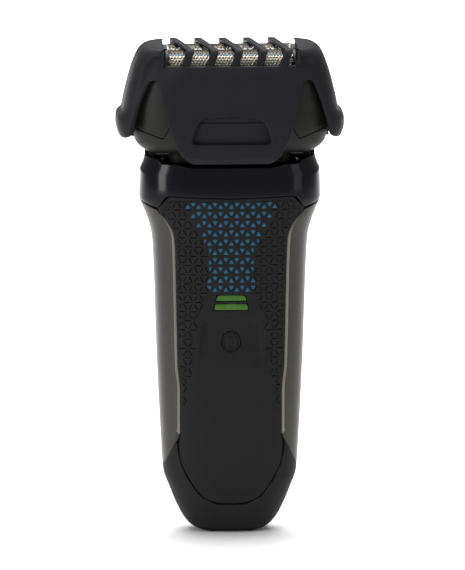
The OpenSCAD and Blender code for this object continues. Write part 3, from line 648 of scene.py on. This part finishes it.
def grip_panel():
    """Rubber front: lattice of grooves, thumb recess, openings for the button and the two lenses."""
    z_low, z_high, steps, gap = GRIP_EDGE[0][0] + 0.2, 113.2, 70, 0.12
    top_x, hole_r = 20.2, 3.52
    points = []
    for k in range(steps + 1):
        z = z_low + (z_high - z_low) * k / steps
        points.append((curve(GRIP_EDGE, z) - gap, z))
    points += [(21.2, 114.3), (top_x, 114.75)]
    points += [(top_x * k / 10, straight(GRIP_TOP, top_x * k / 10) - gap) for k in range(9, -1, -1)]
    loop = mirrored([(front_t(x, z), z) for x, z in points])
    bars = [[(-low, z), (low, z), (high, z + h), (-high, z + h)] for low, high, z, h in
            ((5.95, 5.65, BAR_Z - 0.15, 2.4), (5.35, 4.85, BAR_Z + 2.95, 2.2))]
    marks = thumb_rows()
    for a, b in grooves():
        marks += groove_marks(a, b)
    for inward, depth in ((0.62, 0.0), (0.8, 0.22), (0.98, 0.0)):
        shift = inward * 0.55
        line = [(x - shift, z - shift) for x, z in
                [(19.6, 106.5), (21.3, 107.9), (23, 110.2), (21.1, 112.9), (19.9, 113.9), (0, 113.3)]]
        rim = [(front_t(x, z), z) for x, z in line]
        marks.append((resample(rim + flipped(rim[:-1]), 0.9, closed=False), False, depth))
    skin = plate("grip_panel_skin", grip_wrap.point, [loop, circle(hole_r, BUTTON_Z, 48)] + bars,
                 "grip_rubber", field=thumb_depth, marks=marks)
    place(skin, "handle", "grip_rubber", "grip_panel")


def accent_marks():
    """The blue triangles, each a low cushion set into the rubber."""
    corner_r, bends, overhang = 0.22, (-35, 0, 35), 0.35
    layers = ((1, 0.25), (1, -0.01), (0.82, -0.09))  # scale and depth of the cushion's outlines
    verts, faces = [], []

    def cushion(cx, cz, size, down, half):
        r = corner_r
        corners = []
        for k in range(3):
            a = math.radians(90 + 120 * k + (180 if down else 0))
            for bend in bends:
                q = a + math.radians(bend)
                x = cx + (size - r) * math.cos(a) + r * math.cos(q)
                corners.append((math.copysign(min(abs(x), half), x),
                                cz + (size - r) * math.sin(a) + r * math.sin(q)))
        faces.extend(ring_faces(3, len(corners), base=len(verts)))
        for scale, depth in layers:
            for x, z in corners:
                px, pz = cx + (x - cx) * scale, cz + (z - cz) * scale
                t = flat_t(px, pz)
                verts.append(grip_wrap.point(t, pz, depth + thumb_depth(t, pz)))

    for row in range(MARK_ROWS):
        mid = ROW_TOP - (row + 0.5) * ROW
        half = mark_half(row)
        for k in range(-9, 10):
            x = k * LATTICE / 2
            if abs(x) - overhang > half:
                continue
            down = (k + row) % 2 == 1
            cushion(x, mid + (ROW / 6 if down else -ROW / 6), MARK_SIZE, down, half + 0.1)
    place(recalc(mesh_object("blue_marks", verts, faces, "mark_blue", sharp=60)), "handle", "cutter_blue")


def power_button():
    """Flush disc with an engraved ring and stroke, at the bottom of the thumb recess."""
    marks = [(circle(r, BUTTON_Z, 40), True, depth)
             for r, depth in ((2.85, 0.0), (2.65, 0.22), (2.45, 0.0))]
    for grow, depth in ((0.18, 0.0), (0.0, 0.2), (-0.18, 0.0)):
        marks.append((rounded_rect(0.5 + grow, 1.8 + grow, 0.45 + grow, cz=BUTTON_Z, steps=4), True, depth))
    cap = plate("power_button_cap", grip_wrap.point, [circle(BUTTON_R, BUTTON_Z, 48)], "grip_rubber",
                thick=2.6, r=0.2, step=0.7, field=lambda t, z: 0.05 + thumb_depth(t, z), marks=marks)
    place(cap, "button", "grip_rubber", "power_button")


def indicator_lenses():
    """Two domed green bars; the second is a little narrower."""
    for k, (low, high, z, h) in enumerate(((5.8, 5.5, BAR_Z, 2.1), (5.2, 4.7, BAR_Z + 3.1, 1.9))):
        right = [(low - 0.3, z), (low, z + 0.35), (high + 0.1, z + h - 0.4), (high - 0.4, z + h)]
        loop = mirrored(right + [(0, z + h + 0.12)])
        loop = [(x, q - 0.1 + 0.1 * (1 - (x / 6) ** 2)) for x, q in loop]
        lens = plate(f"indicator_lens_{k}", grip_wrap.point, [loop], "lens_green", thick=3.0, r=0.45,
                     step=0.8, edge_step=0.5, field=lambda t, q: 0.1, sharp=38)
        place(lens, "handle", "lens_green", *(["indicator_lenses"] if k == 0 else []))


def side_panel(side):
    """Metallic flank with a bevel along its front edge, coloured lighter there as a painted highlight."""
    word = "right" if side > 0 else "left"
    foot_x, foot_z = PANEL_FOOT
    bend_low, bend_high = (17.1, 33.7), (24.9, 110.1)  # where the edge leaves the grip's edge
    low, high, steps, gap = foot_z + 0.2, PANEL_TIP_Z - 0.25, 60, 0.2
    fade_in, fade_out, rim_w, rim_depth = (24, 36), (98, 111), 0.75, 0.42

    def at(t, z, inset=0.0):
        x, y, q = grip_wrap.point(t, z, inset)
        return side * x, y, q

    def edge_x(z):
        if z < bend_low[1]:
            return foot_x + (bend_low[0] - foot_x) * (z - foot_z) / (bend_low[1] - foot_z)
        if z > bend_high[1]:
            return bend_high[0] + 4.7 * (z - bend_high[1]) / (PANEL_TIP_Z - bend_high[1])
        return curve(GRIP_EDGE, z)

    heights = [low + (high - low) * k / steps for k in range(steps + 1)]
    front = [(front_t(edge_x(z) + gap, z), z) for z in heights]
    rear_t = grip_wrap.t_of_angle(SIDE_WRAP)
    edge_t = lambda z: float(np.interp(z, heights, [q[0] for q in front]))
    # width of the bevel, and of the painted highlight along it
    rim = lambda z: rim_w * smooth(*fade_in, z) * (1 - 0.65 * smooth(*fade_out, z))
    crease = [(edge_t(z) + rim(z), z) for z in np.linspace(36, 109, 60)]
    across = lambda t, z: 1 - smooth(0, max(rim(z), 0.05), t - edge_t(z))
    field = lambda t, z: rim_depth * across(t, z) * smooth(*fade_in, z)
    # faces in the bevel's strip take the second finish, a painted highlight
    skin = plate(f"side_panel_{word}_skin", at, [front + [(rear_t, z) for z in reversed(heights)]],
                 ["graphite", "graphite_painted_highlight"], r=0.2, step=1.1, field=field, marks=[(crease, False, 0.0)],
                 sharp=60, kind=lambda t, z: 1 if 34 < z < 110 and t - edge_t(z) < rim(z) else 0)
    place(skin, "handle", "graphite", f"side_panel_{word}")


def lower_bumper():
    """Front of the foot, up to the grip's lower end and the panels' feet."""
    start = SEAM_ANGLE - 0.1
    edge = walk(BUMPER_EDGE, lambda x, z: min(start, front_angle(x, z)))
    angles, heights = zip(*sorted((a, z - 0.15) for a, z in edge))
    high = lambda a: float(np.interp(a if a >= -90 else -180 - a, angles, heights))
    skin = ring_skin("lower_bumper_skin", grip_wrap, lambda a: SKIN_FOOT, high, 34, 150, "soft_touch",
                     r=0.22, thick=SKIN_T, span=grip_wrap.t_of_angle(start))
    place(skin, "handle", "soft_touch", "lower_bumper")


def fascia():
    """Glossy collar round the handle's top. It reaches down to the grip in front."""
    low = lambda a: straight(FASCIA_EDGE, abs(handle_at(a, 112)[0])) if a < 0 else PANEL_TIP_Z + 0.15
    high = lambda a: straight(COLLAR_TOP, abs(handle_at(a, 126)[0]))
    skin = ring_skin("fascia_skin", Wrap(handle_at, 118), low, high, 26, 260, "gloss_black",
                     r=0.35, thick=1.5)
    place(skin, "handle", "gloss_black", "fascia")


def level_rings(at, section_z, levels, steps):
    """Rings shaped like the outline at section_z, one for each (height, inset) of the levels."""
    return [[at(-180 + 360 * k / steps, section_z, inset)[:2] + (z,) for k in range(steps)]
            for z, inset in levels]


def neck_deck():
    """Glossy deck that rises from inside the collar to the neck."""
    levels = [(122.2, 1.6), (123.0, 1.6), (123.5, 2.2), (124.0, 5.0), (125.2, 7.2), (125.0, 7.6),
              (122.2, 7.6)]
    deck = swept("neck_deck_skin", level_rings(handle_at, 123, levels, 96), "gloss_black")
    place(deck, "handle", "gloss_black", "neck_deck")


def rear_cover():
    """Rear skin with the trimmer's opening, the slider's slot and six curved grip grooves."""
    wrap = Wrap(handle_at, 80, centre=90)
    side = abs(wrap.t_of_angle(SIDE_WRAP + 1))
    wide = max(abs(wrap.t_of_angle(SEAM_ANGLE)), side)
    foot = PANEL_FOOT[1] - 0.35
    pitch, bow = 5.2, 0.012  # of the grooves
    loop = mirrored([(wide, SKIN_FOOT), (wide, foot), (side, foot + 0.5), (side, PANEL_TIP_Z - 0.15)])
    bay = rounded_rect(10.55, 14.2, 1.2, cz=98)
    slot = rounded_rect(2, 10.3, 2, cz=68.5)
    marks = []
    for k in range(6):
        half = 13 - 0.5 * k
        line = [(x, 30 + pitch * k - bow * x * x) for x in np.linspace(-half, half, 27)]
        marks += v_groove(line, 0.75, 0.4)
    skin = plate("rear_cover_skin", wrap.point, [loop, bay, slot], "soft_touch", step=1.4, marks=marks)
    place(skin, "handle", "soft_touch", "rear_cover")


def base_cap():
    """Sole of the handle with the charging socket's opening. Its levels are (height, inset)."""
    direction = lambda p: math.atan2(p[1], p[0])
    socket = sorted(rounded_rect(7.05, 4.15, 2.2, steps=23), key=direction)
    levels = [(0, 0.6), (0, 0), (0.35, 0), (0.8, 0), (1.2, 0), (1.2, 3.6), (4, 3.6)]
    rings = [[section_direction(direction(p), min(z, 1.2), inset) + (z,) for p in socket]
             for z, inset in levels]
    rings += [[(x, y, z) for x, y in socket] for z in (4, 0)]
    place(swept("base_cap_skin", rings, "soft_touch"), "handle", "soft_touch", "base_cap")


def section_direction(a, z, inset):
    """Point of the handle's outline at a true direction a from the middle."""
    x, y = math.cos(a), math.sin(a)
    depths, n = (HANDLE_FRONT, FRONT_N) if y < 0 else (HANDLE_REAR, REAR_N)
    w, d = curve(HANDLE_W, z) - inset, curve(depths, z) - inset
    r = (abs(x / w) ** n + abs(y / d) ** n) ** (-1 / n)
    return x * r, y * r


def trimmer_cover():
    """Lid of the pop-up trimmer: follows the handle's back, with a thumb scoop and grip lines."""
    wrap = Wrap(handle_at, 98, centre=90)
    lid_top, lid_back, first, pitch, scoop_z = 15.2, 10.5, 90.2, 1.7, 104.5
    marks = []
    for k in range(5):
        marks += v_groove([(x, first + pitch * k) for x in np.linspace(-6, 6, 13)], 0.35, 0.3)
    scoop = lambda t, z: 0.35 + 0.5 * math.exp(-((t / 6) ** 2 + ((z - scoop_z) / 2.4) ** 2))
    at = lambda t, z, inset=0.0: (t, min(wrap.point(t, z, inset)[1], lid_top), z)
    lid = plate("trimmer_cover_skin", at, [rounded_rect(10.05, 10.3, 0.9, cz=97.5)], "soft_touch",
                thick=1.2, r=0.4, marks=marks, field=scoop, back=lambda t, z, inset: (t, lid_back, z),
                sharp=38)
    place(lid, "trimmer", "soft_touch")


def trimmer_switch():
    """Sliding thumb pad with raised ridges."""
    middle, pitch, top = 65, 1.6, 16.7
    marks = []
    for k in range(-2, 3):
        marks += v_groove([(x, middle + pitch * k) for x in np.linspace(-3.3, 3.3, 9)], 0.5, 0.45)
    pad = plate("trimmer_switch_cap", lambda t, z, inset=0.0: (t, top - inset, z),
                [rounded_rect(4.6, 5, 1.5, cz=middle)], "gloss_black", thick=1.2, r=0.35, step=0.9,
                marks=marks, sharp=38)
    place(pad, "trimmer_slider", "gloss_black", "trimmer_switch")
    foot = prism("trimmer_switch_foot", rounded_rect(1.75, 3.5, 0.4, cz=middle), 11, 15.6, "y",
                 "inner_black", 0.1)
    place(foot, "trimmer_slider", "gloss_black")


# ---------------------------------------------------------------- head


def seam_of(a):
    """Height of the joint between the head's housing and the cassette."""
    return straight(HEAD_SEAM, abs(head_at(a, 136)[0]))


def head_skin(name, body, low, high, rows, thick):
    """One of the head's two ring-shaped skins; its node has the same name."""
    skin = ring_skin(f"{name}_skin", head_wrap, low, high, rows, 220, "head_grey", r=0.25, thick=thick)
    place(skin, body, "head_grey", name)


def head_housing():
    head_skin("head_housing", "head", lambda a: HEAD_FOOT, lambda a: seam_of(a) - SEAM_HALF, 14, 1.5)


def foil_frame():
    head_skin("foil_frame", "cassette", lambda a: seam_of(a) + SEAM_HALF, lambda a: HEAD_TOP, 20, 1.3)


def head_floor():
    """Domed underside of the head, down to the neck."""
    levels = [(129.6, 1.6), (129.3, 0.05), (128.9, 0.5), (128.3, 3.0), (127.9, 7.5), (129.6, 7.5)]
    place(swept("head_floor", level_rings(head_at, 129.3, levels, 120), "head_grey"), "head", "head_grey")


# ---------------------------------------------------------------- comb

WINDOW, SILL, COMB_TOP, COMB_T = 22.1, 158.6, 164.1, 1.4
APRON_CORNER = [(12.4, 126), (13.7, 126.25), (14.8, 127), (15.6, 127.9)]
ARCH_RISE = [(16.8, 128.9), (19, 133.4), (20.8, 138.4), (22.8, 145.7), (24.3, 151.5), (24.8, 152.8),
             (25.5, 153.5)]
CROWN = (26.4, 153.8)
ARCH_FALL = [(27.4, 153.6), (28.2, 153.1), (28.7, 152.3)]
TAB_FOOT = [(28.9, 151.7), (31.2, 145.9), (33.2, 138.9), (33.5, 136.6), (34, 135.5), (35.1, 134.4),
            (36.4, 133.6)]
SEAM_TOP, RIM = 24.2, COMB_TOP - 0.06  # half width of the rear seam at the top, and the skin's top
CHAMFER = 127.9  # height where the apron's foot starts to lean in


def comb_angle(x, z):
    return front_angle(x, z, COMB_W, COMB_N)


def comb_front_t(x, z):
    """Unrolled place on the comb of the front point at x."""
    return comb_wrap.t_of_angle(comb_angle(x, z))


def comb_rear_t(x, z):
    """Unrolled place on the comb of the rear point at x, past the right side."""
    return comb_wrap.t_of_angle(-comb_angle(x, z))


def comb_depth(t, z):
    """Front face set back a little from the flange that runs down each side."""
    x = comb_wrap.point(t, min(max(z, 126), 164))[0]
    edge = straight([(126, 30), (133, 33), (141, 33.8), (152, 30.9), (158, 29.0), (161.2, 26.5),
                     (162.1, 22)], z)
    flange_step, top_step, foot_lean = 0.4, 0.8, 0.35
    flange = smooth(edge, edge - 1.1, abs(x)) * smooth(162.4, 161.2, z)
    near_top = smooth(148, 160.5, z) * smooth(16, 24, abs(x))
    foot = max(0.0, CHAMFER - z) * foot_lean if abs(x) < 17 else 0.0
    return flange_step * flange * smooth(139, 146, z) + top_step * near_top * flange + foot


def seam_x(z):
    """Half width of the rear seam at a height."""
    return straight([(CROWN[1], CROWN[0]), (COMB_TOP, SEAM_TOP)], z)


def top_rows(unroll):
    """Lines that give the rounded top enough rows, from the window to the rear seam."""
    rows = []
    for z in (160.8, 161.4, 162, 162.5, 163, 163.4, 163.7, 163.9):
        a, b = unroll(WINDOW + 0.8, z), unroll(seam_x(z) - 0.4, z, True)
        line = [(t, z) for t in np.linspace(a, b, max(3, int(abs(b - a) / 0.9)))]
        rows += [(line, False, 0.0), ([(-t, z) for t, _ in line], False, 0.0)]
    return rows


def comb_skin(name, wrap, loops, step, rows, seam, field=None):
    """One part of the comb's wall, square-edged at the top and along the two seams above the arches."""
    flush = lambda t, z: z > RIM - 0.02 or z > CROWN[1] - 0.05 and abs(t) > seam - 0.12
    skin = plate(name, wrap.point, loops, "comb_black", thick=COMB_T, r=0.5, step=step, field=field,
                 marks=rows, flush=flush)
    place(skin, "comb_unit", "comb_black", *(["comb"] if name == "comb_shell" else []))


def comb_shell():
    """The comb's wall in two unrolled parts, which meet above the rear arches."""
    side = comb_wrap.t_of_angle(0)
    seam_lo, seam_hi = comb_rear_t(*CROWN), comb_rear_t(seam_x(RIM), RIM)
    front_foot = [(0, 126)] + APRON_CORNER + ARCH_RISE + [CROWN]
    apron = walk(front_foot + ARCH_FALL + TAB_FOOT, comb_front_t, 0.6)
    tab = apron[-1][0] - side
    foot = [(side + q, 133.3) for q in np.arange(tab + 0.8, -tab - 0.4, 0.8)]
    back = walk(TAB_FOOT[::-1] + ARCH_FALL[::-1] + [CROWN], comb_rear_t)
    top = [(seam_hi, RIM), (comb_front_t(WINDOW, RIM), RIM), (comb_front_t(WINDOW, SILL), SILL)]
    signed = lambda x, z: (math.copysign(comb_front_t(abs(x), z), x), z)
    slot = [signed(x, z) for x, z in grip_slot_outline()]
    rows = top_rows(lambda x, z, far=False: comb_rear_t(x, z) - 0.7 if far else comb_front_t(x, z))
    rows.append(([signed(x, CHAMFER) for x in np.linspace(-14.6, 14.6, 36)], False, 0.0))
    comb_skin("comb_shell", comb_wrap, [mirrored(apron + foot + back + top), slot], 1.1, rows,
              min(seam_lo, seam_hi), comb_depth)
    rear = Wrap(comb_at, 145, centre=90)
    rear_at = lambda x, z, far=False: abs(rear.t_of_angle(-comb_angle(x, z)))
    lo, hi = rear_at(*CROWN), rear_at(seam_x(RIM), RIM)
    half = walk(front_foot, rear_at)
    half += [(hi, RIM), (rear_at(WINDOW, RIM), RIM), (rear_at(WINDOW, SILL), SILL)]
    comb_skin("comb_rear_apron", rear, [mirrored(half)], 1.2, top_rows(rear_at), min(lo, hi))


def grip_slot_outline():
    """Finger slot: flat foot, sides that lean in, and a shallow arched top."""
    return mirrored([(0, 132.75), (11.8, 132.75), (12.9, 133.1), (13.3, 133.9), (12.9, 135.4), (11.9, 138.2),
                     (10.9, 140.0), (9.6, 141.1), (7.5, 141.6), (0, 141.9)])


def slot_back():
    """Recess behind the finger slot, with the ledge that the finger pulls on."""
    marks = [([(x, 139.9 + q) for x in np.linspace(-13, 13, 21)], False, d)
             for q, d in ((-0.25, 0.0), (-0.05, 0.35), (0.2, 0.0))]
    back = plate("comb_slot_back", lambda t, z, inset=0.0: (t, -16.55 + 0.004 * t * t + inset, z),
                 [rounded_rect(14.2, 5.1, 1.2, cz=137.2)], "comb_black", thick=0.5, r=0.15, step=1.3,
                 marks=marks, field=lambda t, z: 0.35 * smooth(134.6, 132.4, z), sharp=38)
    place(back, "comb_unit", "comb_black")


def comb_ends():
    """Closed tops of the comb's two ends, and the window's side walls."""
    top = [comb_at(a, COMB_TOP, 0.03)[:2] for a in np.linspace(-90, 90, 90)]
    top = [p for p in top if p[0] >= WINDOW + 0.1]
    edge_y = abs(comb_at(comb_angle(WINDOW, COMB_TOP), COMB_TOP, 0.03)[1])
    half = [(13.9, 158.25), (13.8, 159), (13.5, 160.4), (12.9, 162), (12.2, 163), (11.1, 163.75), (10.2, 164)]
    for side in (-1, 1):
        outline = [(side * x, y) for x, y in [(WINDOW, -edge_y)] + top + [(WINDOW, edge_y)]]
        end = prism(f"comb_end_{side + 1}", outline, COMB_TOP - 1.6, COMB_TOP, "z", "comb_black")
        place(end, "comb_unit", "comb_black")
        lo, hi = sorted((side * WINDOW, side * (WINDOW + 1.1)))
        wall = prism(f"comb_wall_{side + 1}", mirrored(half), lo, hi, "x", "comb_black", 0.3)
        place(wall, "comb_unit", "comb_black")


def comb_rib(k):
    """One rib: leans as it rises from the sill, then sweeps back across both foils."""
    first, pitch, lean, sweep, reach = -15.4, 8.15, 1.9, 4.7, 12.4
    outer = [(-14.55, 157.4), (-14.3, 160), (-13.75, 162.6), (-13.2, 163.5), (-12.2, 164.05), (-6, 164.1),
             (6, 164.1), (12.4, 164.1), (13.6, 163.7), (14.2, 162.6), (14.5, 160), (14.6, 157.4)]
    inner = [(12.3, 157.4), (11.6, 160), (10.9, 161.6), (9.6, 162.7), (7.5, 163.15), (-7.5, 163.15),
             (-9.8, 162.9), (-11.4, 162.2), (-12.4, 160), (-12.8, 157.4)]
    rib = prism(f"comb_rib_{k}", resample(outer + inner, 1.4), -1.3, 1.3, "x", "comb_black")
    for v in rib.data.vertices:
        y, z = v.co.y / MM, v.co.z / MM
        leaning = lean * smooth(157.2, 163.6, z) if y < -11 else lean
        swept_back = sweep * max(0.0, min(1.0, (y + reach) / (2 * reach)))
        v.co.x += (first + pitch * k + leaning - swept_back) * MM
    place(bevelled(rib, 0.38, 3), "comb_unit", "comb_black")


# ---------------------------------------------------------------- foils and cutters

FOIL_R, FOIL_Y, FOIL_Z, FOIL_HALF, FOIL_LOW = 4.3, 6.5, 158.6, 20.7, 153.6
# the second number is the half width of the band over the crown that is painted darker, a painted dark
# reflection
HOLE_PITCH, PAINTED_DARK_CROWN_BAND = 1.06, 3.3
FOIL_QUARTER = FOIL_R * math.pi / 2  # from the crown down to the end of the arch


def foil_point(y, u, x, inset=0.0):
    """Point of a foil: u runs over the arch from its crown, x along it."""
    r = FOIL_R - inset
    if abs(u) < FOIL_QUARTER:
        a = u / FOIL_R
        return x, y + r * math.sin(a), FOIL_Z + r * math.cos(a)
    return x, y + math.copysign(r, u), FOIL_Z - (abs(u) - FOIL_QUARTER)


def foil(name, y, body, node):
    """Sheet with six-sided holes in staggered rows, with a painted dark reflection over the crown, and plain
    at its long edges.
    """
    verts, faces, finish, known = [], [], [], {}
    hole, sheet, end_margin = 0.66, 0.12, 0.35

    def vertex(u, x):
        key = (round(u, 3), round(x, 3))
        if key not in known:
            known[key] = len(verts)
            verts.append(foil_point(y, u, x))
        return known[key]

    cell = HOLE_PITCH / math.sqrt(3)
    row_h = cell * 1.5
    reach = FOIL_QUARTER + 1.2
    rows, cols = int(reach / row_h), int(FOIL_HALF / HOLE_PITCH)
    for i in range(-rows, rows + 1):
        for j in range(-cols, cols + 1):
            cx, cu = j * HOLE_PITCH + (i % 2) * HOLE_PITCH / 2, i * row_h
            if abs(cx) > FOIL_HALF - end_margin:
                continue
            corner = [(cu + cell * math.cos(a), cx + cell * math.sin(a))
                      for a in (math.radians(60 * k) for k in range(6))]
            rim = [vertex(u, x) for u, x in corner]
            mid = [vertex(cu + (u - cu) * hole, cx + (x - cx) * hole) for u, x in corner]
            faces += [(rim[k], rim[(k + 1) % 6], mid[(k + 1) % 6], mid[k]) for k in range(6)]
            # faces in that band take the second finish, a painted dark reflection
            finish += [1 if abs(cu) < PAINTED_DARK_CROWN_BAND else 0] * 6
    net = mesh_object(f"{name}_net", verts, faces, ["foil", "foil_crown_painted_dark_reflection"], finish, sharp=70)
    thin = net.modifiers.new("sheet", "SOLIDIFY")
    thin.thickness = sheet * MM
    thin.offset = 0
    place(net, body, "foil", node)
    for side in (-1, 1):
        down = np.linspace(reach - 0.9, FOIL_QUARTER + FOIL_Z - FOIL_LOW, 7)
        along = (-FOIL_HALF, -7, 7, FOIL_HALF)
        outer, inner = [[[foil_point(y, side * u, x, inset) for x in along] for u in down]
                        for inset in (-0.01, 0.17)]
        place(grid_solid(f"{name}_strip_{side + 1}", outer, inner, "foil"), body, "foil")


def foil_holder(name, y, body, node):
    """End blocks that hold the foil's arch, and the blue rails under its two sides."""
    r, low, overlap, block = FOIL_R - 0.1, 153.1, 0.1, 1.1
    rail_y, rail_half, rail_end = 4.5, 0.18, FOIL_HALF + 1
    for side in (-1, 1):
        outline = [(y + r * math.cos(a), FOIL_Z + r * math.sin(a)) for a in np.linspace(0, math.pi, 33)]
        outline += [(y - r, low), (y + r, low)]
        lo, hi = sorted((side * (FOIL_HALF - overlap), side * (FOIL_HALF + block)))
        end = prism(f"{name}_block_{side + 1}", outline, lo, hi, "x", "inner_black", 0.25)
        place(end, body, "inner_black")
    for side in (-1, 1):
        middle = y + side * rail_y
        outline = box(middle - rail_half, middle + rail_half, 153, 155.3)
        rail = prism(f"{name}_rail_{side + 1}", outline, -rail_end, rail_end, "x", "cutter_blue", 0.08)
        place(rail, body, "cutter_blue", *([node] if side > 0 else []))


def foil_dots():
    """Row of small blue windows along the front foil's shoulder."""
    verts, faces = [], []
    shoulder, reach = -math.radians(47) * FOIL_R, 19
    shape = [(-0.36, -0.3), (0.36, -0.3), (0.3, 0.0), (0.08, 0.5), (-0.08, 0.5), (-0.3, 0.0)]
    for k in range(-reach, reach + 1):
        faces += ring_faces(2, len(shape), base=len(verts))
        for inset in (0.12, -0.09):
            verts += [foil_point(-FOIL_Y, shoulder + du, k * HOLE_PITCH + dx, inset) for dx, du in shape]
    dots = recalc(mesh_object("front_foil_dots", verts, faces, "cutter_blue"))
    place(dots, "front_foil_unit", "cutter_blue")


def coil_springs(name, y, node):
    """Two coils from the bridge to a blade carrier."""
    low, high, turns, coil_r, wire_r, coil_x = 142.0, 150.75, 6, 1.75, 0.25, 12
    sides, steps = 10, 28  # of the wire's section, and of one turn
    close = 0.55  # rise of the flat turn at each end
    rise = [(0, low), (1, low + close), (turns - 1, high - close), (turns, high)]
    for side in (-1, 1):
        x0 = side * coil_x
        rings = []
        for k in range(steps * turns + 1):
            a, z = 2 * math.pi * k / steps, straight(rise, k / steps)
            wire = [(coil_r + wire_r * math.cos(b), z + wire_r * math.sin(b))
                    for b in (2 * math.pi * q / sides for q in range(sides))]
            rings.append([(x0 + r * math.cos(a), y + r * math.sin(a), up) for r, up in wire])
        coil = swept(f"{name}_{side + 1}", rings, "steel", closed=False, sharp=50)
        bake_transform(coil)
        if side > 0:
            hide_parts(node)


def intercept_guard():
    """Slotted steel strip between the foils, with rounded bars."""
    outer = [(1.3, 157.6), (1.3, 161.6), (1.1, 162.15), (0.7, 162.4)]
    inner = [(0.6, 162.0), (0.95, 161.5), (0.95, 157.6)]
    outline = flipped(outer[::-1]) + outer[::-1] + inner[::-1] + flipped(inner[::-1])
    bars, pitch, half, rail_end = 26, 1.5, 0.4, 21.4
    for k in range(bars):
        x = (k + 0.5 - bars // 2) * pitch
        bar = prism(f"guard_bar_{k}", outline, x - half, x + half, "x", "steel")
        place(bar, "cassette", "steel", *(["intercept_guard"] if k == 0 else []))
    for side in (-1, 1):
        outline = box(side * 0.96, side * 1.29, 157.6, 160.6)
        rail = prism(f"guard_rail_{side + 1}", outline, -rail_end, rail_end, "x", "steel")
        place(rail, "cassette", "steel")


# ---------------------------------------------------------------- stage, lights and camera


def stage():
    """Pale floor and an even grey surround."""
    mesh = bpy.data.meshes.new("floor")
    mesh.from_pydata([(x, y, 0) for x, y in box(-3, 3, -3, 3)], [], [(0, 1, 2, 3)])
    floor = new_object("floor", mesh)
    pale = bpy.data.materials.new("pale_floor")
    pale.use_nodes = True
    finish = pale.node_tree.nodes["Principled BSDF"].inputs
    finish["Base Color"].default_value = (0.9, 0.9, 0.9, 1)
    finish["Roughness"].default_value = 0.9
    mesh.materials.append(pale)
    world = bpy.data.worlds.new("studio")
    world.use_nodes = True
    surround = world.node_tree.nodes["Background"].inputs
    surround["Color"].default_value = (1, 1, 1, 1)
    surround["Strength"].default_value = 0.4
    bpy.context.scene.world = world
    bpy.context.scene.view_settings.view_transform = "Standard"


def light(name, energy, size, at, target=(0, 0, 0.09), spread=180):
    """Soft box of a size in metres, turned to its target."""
    data = bpy.data.lights.new(name, "AREA")
    data.energy = energy
    data.shape = "RECTANGLE"
    data.size, data.size_y = size
    data.spread = math.radians(spread)
    obj = new_object(name, data)
    obj.location = at
    obj.rotation_euler = (Vector(target) - obj.location).to_track_quat("-Z", "Y").to_euler()


def camera():
    """Long lens from the front, a little above."""
    az, el = math.radians(-2.4), math.radians(10)
    target, view_width = Vector((0.001, 0, 0.0824)), 0.190
    data = bpy.data.cameras.new("camera")
    data.lens = 1000
    data.sensor_width = 36
    obj = new_object("camera", data)
    way = Vector((math.sin(az) * math.cos(el), -math.cos(az) * math.cos(el), math.sin(el)))
    obj.location = target + data.lens / data.sensor_width * view_width * way
    obj.rotation_euler = (-way).to_track_quat("-Z", "Y").to_euler()
    bpy.context.scene.camera = obj


stage()
light("side_left", 7.5, (0.35, 0.9), (-1.0, -0.85, 0.4))
light("side_right", 1.3, (0.35, 0.9), (1.0, -0.85, 0.35))
light("front_top", 3.2, (1.1, 0.5), (0.1, -0.9, 1.2))
light("floor_near", 8, (1.6, 0.6), (0, 0.3, 1.3), (0, 0.35, 0), 80)
light("background", 45, (2.6, 1.0), (0, 1.5, 1.2), (0, 1.2, 0), 80)
camera()
grip_panel()
accent_marks()
power_button()
indicator_lenses()
side_panel(1)
side_panel(-1)
lower_bumper()
fascia()
neck_deck()
rear_cover()
base_cap()
trimmer_cover()
trimmer_switch()
head_housing()
foil_frame()
head_floor()
comb_shell()
slot_back()
comb_ends()
for k in range(5):
    comb_rib(k)
foil("front_foil", -FOIL_Y, "front_foil_unit", "front_foil")
foil("rear_foil", FOIL_Y, "rear_foil_unit", "rear_foil")
foil_holder("front_holder", -FOIL_Y, "front_foil_unit", "front_foil_holder")
foil_holder("rear_holder", FOIL_Y, "rear_foil_unit", "rear_foil_holder")
foil_dots()
intercept_guard()
coil_springs("front_spring", -FOIL_Y, "front_springs")
coil_springs("rear_spring", FOIL_Y, "rear_springs")
